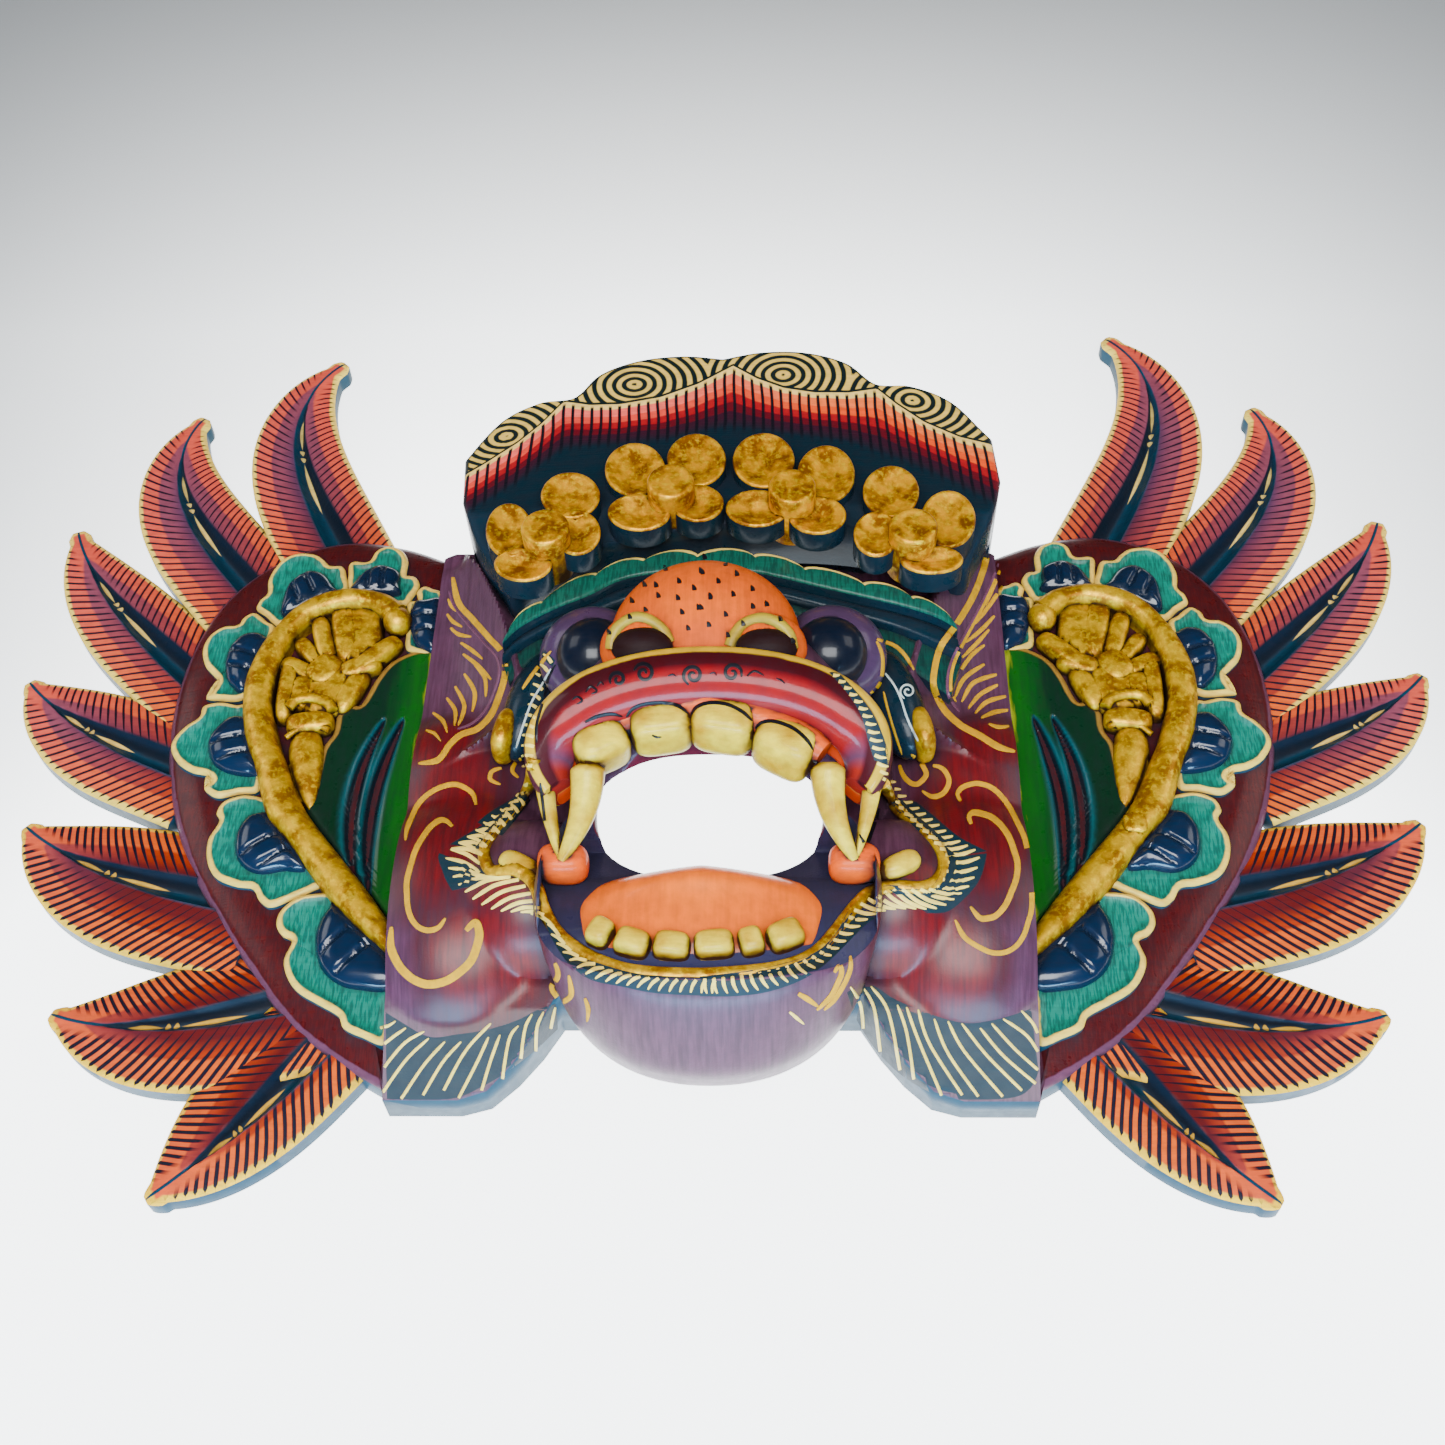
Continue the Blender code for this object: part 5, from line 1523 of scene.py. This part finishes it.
RIGHT_STROKES = (
    ("line", 28, (1262, -30, 1250, 20, 1235, 82, 1190, 200, 1120, 320, 1050, 420, 1022, 520, 1020, 600,
     1060, 690, 1130, 760, 1220, 810, 1300, 858, 1372, 878)),
    ("mauve", 12, (1300, 60, 1262, 160, 1212, 262, 1150, 375, 1098, 480, 1078, 560, 1085, 640, 1130,
     705)),
    ("line", 14, (1300, 100, 1230, 250, 1160, 380, 1105, 500, 1092, 600, 1115, 662)),
    ("line", 18, (1306, 92, 1275, 165, 1243, 242)),
    ("line", 18, (1318, 158, 1262, 240, 1198, 322)),
    ("line", 18, (1282, 288, 1225, 348, 1158, 402)),
    ("line", 18, (1258, 348, 1200, 412, 1138, 472)),
    ("line", 18, (1238, 415, 1180, 462, 1122, 545)),
    ("line", 19, (1238, 498, 1150, 560, 1110, 642)),
    ("line", 19, (1292, 543, 1190, 580, 1140, 662)),
    ("line", 19, (1297, 588, 1220, 630, 1168, 692)),
    ("line", 19, (1332, 638, 1250, 662, 1198, 712)),
    ("line", 19, (1342, 698, 1280, 708, 1224, 732)),
    ("line", 18, (1345, 768, 1300, 772, 1258, 758)),
    ("line", 22, (870, 938, 880, 970, 900, 1000, 925, 1018, 952, 1018, 985, 982, 975, 948, 955, 918, 920,
     890)),
    ("line", 22, (1015, 940, 1042, 945, 1068, 965, 1085, 1010, 1060, 1060, 1012, 1075, 968, 1050)),
    ("line", 10, (800, 618, 820, 700, 850, 800, 880, 890)),
    ("line", 14, (768, 398, 785, 430, 796, 482, 790, 560, 770, 600, 742, 624)),
    ("line", 16, (770, 388, 810, 402, 855, 422, 895, 462, 932, 522)),
    ("pale", 9, (800, 530, 840, 580, 872, 642, 905, 740, 950, 832)),
)
LOW_RIGHT_STROKES = (
    ("line", 22, (1135, 92, 1122, 62, 1140, 35, 1175, 20, 1215, 16, 1262, 30, 1302, 60, 1345, 115, 1380,
     182, 1412, 250, 1430, 332, 1442, 420, 1445, 502, 1443, 565, 1428, 622, 1410, 675, 1378, 722, 1330,
     750, 1272, 752, 1210, 725, 1150, 682, 1112, 610)),
    ("line", 26, (1182, 192, 1172, 160, 1195, 142, 1260, 158, 1305, 192, 1342, 242, 1365, 300, 1382, 362,
     1378, 425, 1358, 482, 1330, 545, 1290, 590, 1255, 602, 1218, 600, 1178, 552)),
    ("line", 22, (585, 838, 600, 815, 612, 812, 615, 845, 600, 882, 580, 925, 558, 955, 508, 1002)),
    ("line", 20, (655, 768, 655, 815, 640, 862, 612, 915, 580, 962, 540, 1002)),
    ("line", 30, (428, 930, 470, 955, 512, 985)),
    ("cream", 16, (390, 1010, 420, 1035, 452, 1062)),
)
BLACK_STROKES = (
    ("black", 15, (215, 322, 262, 300, 318, 290, 362, 300)),
    ("black", 14, (378, 302, 400, 272, 445, 252, 520, 246, 580, 258, 618, 288)),
    ("black", 14, (632, 292, 655, 262, 705, 246, 770, 252, 830, 280, 872, 318)),
    ("black", 14, (884, 345, 912, 322, 960, 320, 1030, 345, 1085, 392, 1108, 430)),
    ("black", 12, (40, 560, 52, 650, 60, 720, 75, 790)),
    ("black", 13, (1368, 660, 1345, 740, 1318, 800, 1292, 762)),
    ("black", 10, (478, 372, 495, 380, 515, 380)),
    ("black", 9, (165, 235, 185, 222, 205, 238, 182, 252)),
    ("black", 9, (218, 205, 238, 182, 262, 200, 240, 212)),
    ("black", 9, (262, 182, 278, 165, 290, 178)),
    ("black", 8, (540, 142, 560, 135, 575, 145)),
    ("black", 8, (705, 132, 722, 128, 732, 140)),
    ("black", 9, (850, 142, 880, 122, 918, 140)),
    ("black", 8, (965, 150, 985, 158, 1000, 172)),
)
# Middle, radius, turns and start angle of the curl by the right eye and those on the lip
EYE_CURL = (905, 615, 36, 1.6, 2.0)
LIP_CURLS = (
    (345, 155, 34, 1.3, 2.6), (447, 130, 42, 1.5, 3.4), (640, 138, 42, 1.6, 2.0),
    (792, 130, 40, -1.4, 0.4),
)
NOSE_DROPS_LEFT = (
    1330, 80, 1485, 90, 1240, 150, 1290, 152, 1390, 135, 1455, 165, 1185, 220, 1300, 198, 1385, 208, 1525,
    205, 1120, 280, 1175, 290, 1245, 262, 1403, 270, 1475, 250, 1430, 340, 1520, 325, 1085, 358,
)
NOSE_DROPS_RIGHT = (
    10, 95, 110, 58, 160, 103, 80, 135, 45, 200, 145, 192, 228, 168, 230, 245, 290, 235, 5, 250, 112, 280,
    38, 325, 188, 320, 350, 300, 122, 370, 405, 395, 20, 30,
)
# Outer and inner border of the dark band around the mouth, with its cream ticks
BAND_LOW_LEFT = (
    (735, 40, 640, 95, 550, 152, 470, 222, 348, 310, 360, 400, 400, 480, 460, 545, 560, 580, 700, 572,
     790, 592, 830, 680, 900, 790, 1000, 868, 1150, 902, 1300, 930, 1568, 942),
    (755, 70, 700, 145, 612, 252, 562, 312, 545, 390, 575, 438, 640, 428, 710, 408, 762, 450, 805, 552,
     852, 650, 932, 752, 1052, 802, 1200, 842, 1350, 856, 1568, 862),
)
BAND_LOW_RIGHT = (
    (1250, 320, 1220, 430, 1150, 518, 1060, 578, 900, 572, 800, 582, 720, 632, 650, 702, 560, 790, 450,
     868, 300, 922, 150, 942, 0, 942),
    (1052, 342, 1048, 400, 1000, 468, 900, 462, 800, 462, 700, 512, 640, 580, 590, 670, 500, 752, 350,
     802, 200, 832, 0, 856),
)
BAND_RIGHT = (
    (605, 535, 690, 628, 762, 730, 812, 850, 832, 950, 900, 1058, 1020, 1160, 1130, 1250, 1250, 1312),
    (562, 532, 640, 622, 702, 722, 738, 850, 792, 1010, 822, 1080, 872, 1150, 950, 1222, 1055, 1345),
)
BAND_LEFT = (
    (800, 430, 760, 520, 730, 640, 700, 760, 690, 880, 700, 1000, 690, 1050, 640, 1110, 560, 1180, 480,
     1230, 345, 1310),
    (850, 480, 818, 560, 795, 650, 768, 760, 768, 880, 742, 1010, 692, 1100, 612, 1210, 562, 1290, 548,
     1330, 560, 1312),
)
FRINGE_LEFT = (
    (88, 995, 170, 1048, 300, 1118, 420, 1108, 550, 1088, 680, 1048, 780, 998, 852, 975),
    (88, 1385, 180, 1392, 400, 1388, 520, 1342, 640, 1272, 770, 1172, 825, 1120, 862, 1085),
)
FRINGE_RIGHT = (
    (640, 925, 700, 895, 760, 898, 850, 955, 1000, 1018, 1150, 1058, 1270, 1048, 1380, 1018, 1442, 995),
    (648, 950, 690, 1060, 780, 1192, 900, 1302, 1060, 1382, 1230, 1392, 1370, 1382, 1440, 1342, 1475,
     1270),
)
FRINGE_STROKES_LEFT = (
    (155, 1050, 125, 1070, 90, 1080), (200, 1080, 150, 1115, 90, 1162), (280, 1095, 190, 1150, 90, 1272),
    (300, 1125, 200, 1220, 92, 1372), (370, 1140, 280, 1240, 180, 1388),
    (440, 1140, 360, 1230, 275, 1372), (570, 1060, 460, 1180, 365, 1352),
    (560, 1120, 510, 1230, 430, 1385), (610, 1110, 570, 1220, 530, 1352),
    (690, 1070, 650, 1130, 620, 1300), (750, 1020, 720, 1080, 700, 1212),
    (800, 1010, 770, 1080, 765, 1180), (850, 990, 838, 1040, 830, 1082),
)
FRINGE_STROKES_RIGHT = (
    (655, 900, 700, 980, 712, 1082), (715, 910, 760, 1000, 786, 1182), (745, 900, 820, 1010, 872, 1262),
    (860, 980, 900, 1100, 932, 1302), (900, 990, 950, 1130, 1052, 1372),
    (950, 1000, 1000, 1150, 1142, 1372), (1020, 1040, 1080, 1190, 1212, 1378),
    (1080, 1050, 1150, 1180, 1318, 1378), (1140, 1060, 1250, 1200, 1402, 1352),
    (1220, 1080, 1320, 1200, 1462, 1322), (1270, 1060, 1370, 1170, 1472, 1262),
    (1320, 1040, 1420, 1110, 1472, 1182), (1400, 1005, 1450, 1060, 1474, 1112),
)


def make_brushwork():
    """All the lines, films, ticks and drops that a fine brush laid on the face."""
    piece = Piece("face_brushwork")
    film(piece, LOW_LEFT_VIEW, *BAND_LOW_LEFT, "band", rows=160)
    film(piece, LOW_RIGHT_VIEW, *BAND_LOW_RIGHT, "band", rows=160)
    film(piece, RIGHT_VIEW, *BAND_RIGHT, "band", rows=120)
    film(piece, LEFT_VIEW, *BAND_LEFT, "band", rows=120)
    film(piece, LOW_LEFT_VIEW, *FRINGE_LEFT, "band", 13)
    film(piece, LOW_RIGHT_VIEW, *FRINGE_RIGHT, "band", 13)
    for band, view, count in ((BAND_LOW_LEFT, LOW_LEFT_VIEW, 42), (BAND_LOW_RIGHT, LOW_RIGHT_VIEW, 33),
                              (BAND_RIGHT, RIGHT_VIEW, 27), (BAND_LEFT, LEFT_VIEW, 23)):
        outer, inner = band
        ticks(piece, view, inner, outer, count, "cream", 17, -0.006, start=0.14)
    for view, strokes in ((LEFT_VIEW, LEFT_STROKES), (LOW_LEFT_VIEW, LOW_LEFT_STROKES),
                          (RIGHT_VIEW, RIGHT_STROKES), (LOW_RIGHT_VIEW, LOW_RIGHT_STROKES),
                          (MOUTH_VIEW, BLACK_STROKES)):
        for paint, width, spots in strokes:
            stroke(piece, view, spots, paint, width, rise=0.32)
    for view, strokes in ((LOW_LEFT_VIEW, FRINGE_STROKES_LEFT),
                          (LOW_RIGHT_VIEW, FRINGE_STROKES_RIGHT)):
        for spots in strokes:
            stroke(piece, view, spots, "cream", 13, (0.4, 0.9), rise=0.35)
    for x, y, radius, turns, start in LIP_CURLS:
        spiral(piece, MOUTH_VIEW, x, y, radius, turns, start, "black", 15)
    spiral(piece, RIGHT_VIEW, *EYE_CURL, "pale", 8)
    for view, drops in ((LEFT_VIEW, NOSE_DROPS_LEFT), (RIGHT_VIEW, NOSE_DROPS_RIGHT)):
        for x, y in pairs(drops):
            stroke(piece, view, (x - 7, y - 14, x, y, x + 2, y + 11), "black", 24, (0.15, 0.75), rise=0.3)
    return piece


pieces = {name: make_wing(name, side) for name, side in SIDES.items()}
pieces["face"] = make_face()
head = make_head()
carving = gather(pieces.values(), head)
add_nostrils(pieces["face"])
add_rim(pieces["face"])
carving = gather(pieces.values(), head)


# Painted shade: occlusion from short rays darkens the crevices

CREVICE_REACH = 7.0


def sense_crevices(shape):
    """Write each vertex's crevice field: the share of short rays around its normal that hit."""
    mesh = shape.data
    values = np.zeros(len(mesh.vertices))
    tilts = [Vector((math.cos(a) * 0.8, math.sin(a) * 0.8, 0.6)) for a in (0.3, 1.56, 2.8, 4.1, 5.3)]
    tilts.append(Vector((0.2, 0.1, 1.0)).normalized())
    for index, vertex in enumerate(mesh.vertices):
        turn = vertex.normal.to_track_quat("Z", "X")
        origin = vertex.co / MM + Vector((0, MIDDLE_Y, 0)) + vertex.normal * 0.3
        hits = 0.0
        for tilt in tilts:
            distance = carving.ray_cast(origin, turn @ tilt, CREVICE_REACH)[3]
            if distance is not None:
                hits += 1 - distance / CREVICE_REACH
        values[index] = hits / len(tilts)
    layer = mesh.attributes.new("crevice", "FLOAT", "POINT")
    layer.data.foreach_set("value", values)


for name, piece in pieces.items():
    shape = piece.build()
    sense_crevices(shape)
    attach(shape, "root")
    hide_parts(name)
for shape in head:
    sense_crevices(shape)
    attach(shape, "root")
brushwork = make_brushwork().build()
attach(brushwork, "root")


# Floor, light and camera

PAPER_GLOW = 5.2
FLOOR_HALF = 3.0
FLOOR_DROP = 0.0006


def make_floor():
    """White paper that glows, as painted light, brightest towards the camera, and turns grey beyond the mask
    and at the sides as painted falloff of light.
    """
    coat = Coat("studio paper")
    side, far = coat.spot(1.0)[:2]
    # Painted light: the glow falls off away from the camera and to the sides
    wane = 16.0 - far.math("MAXIMUM", 0.0) * 26.0
    fade = 2.25 - far * 4.2 - (far - 0.2).math("MAXIMUM", 0.0) * 3.6
    fade = fade - side * side * wane.math("MAXIMUM", 1.0)
    glow = (fade.math("EXPONENT") - 0.25).clamped(PAPER_GLOW) / PAPER_GLOW
    coat.surface.inputs["Base Color"].default_value = (0.2, 0.2, 0.2, 1.0)
    coat.surface.inputs["Roughness"].default_value = 0.9
    coat.surface.inputs["Specular IOR Level"].default_value = 0.1
    white = coat.mix(glow, (0.0, 0.0, 0.0), (0.95, 0.985, 1.0))
    coat.feed(coat.surface.inputs["Emission Color"], white)
    coat.surface.inputs["Emission Strength"].default_value = PAPER_GLOW
    mesh = bpy.data.meshes.new("floor")
    corners = [(x * FLOOR_HALF, y * FLOOR_HALF, -FLOOR_DROP) for x, y in ((-1, -1), (1, -1), (1, 1), (-1, 1))]
    mesh.from_pydata(corners, [], [(0, 1, 2, 3)])
    mesh.materials.append(coat.material)
    floor = add_object("floor", mesh)


def make_light(name, place, size, power, colour):
    """A soft rectangular light that points at the mask's middle."""
    data = bpy.data.lights.new(name, "AREA")
    data.shape = "RECTANGLE"
    data.size, data.size_y = size
    data.energy = power
    data.color = colour
    light = add_object(name, data)
    light.location = place
    light.rotation_euler = (-Vector(place)).to_track_quat("-Z", "Y").to_euler()


# Lights: place and size in metres, power in watts and colour
LIGHTS = {
    "softbox above": ((0.0, -0.75, 1.35), (1.1, 0.7), 58, (0.97, 0.99, 1.0)),
    "softbox left": ((-1.3, 0.5, 0.9), (0.8, 0.7), 7, (1.0, 1.0, 1.0)),
    "softbox right": ((1.3, 0.4, 1.0), (0.8, 0.7), 7, (1.0, 0.97, 0.93)),
    "softbox front": ((0.0, -1.2, 0.3), (1.2, 0.25), 46, (0.30, 0.64, 1.0)),
}

make_floor()
for name, settings in LIGHTS.items():
    make_light(name, *settings)

world = bpy.data.worlds.new("studio")
world.use_nodes = True
world.node_tree.nodes["Background"].inputs[0].default_value = (1.0, 1.0, 1.0, 1.0)
world.node_tree.nodes["Background"].inputs[1].default_value = 0.06
bpy.context.scene.world = world

SENSOR_WIDTH = 36.0
camera_data = bpy.data.cameras.new("camera")
camera_data.sensor_width = SENSOR_WIDTH
camera_data.lens = SENSOR_WIDTH * FOCAL_PIXELS / PHOTO_SIZE
camera = add_object("camera", camera_data)
camera.matrix_world = photo_matrix()
bpy.context.scene.camera = camera
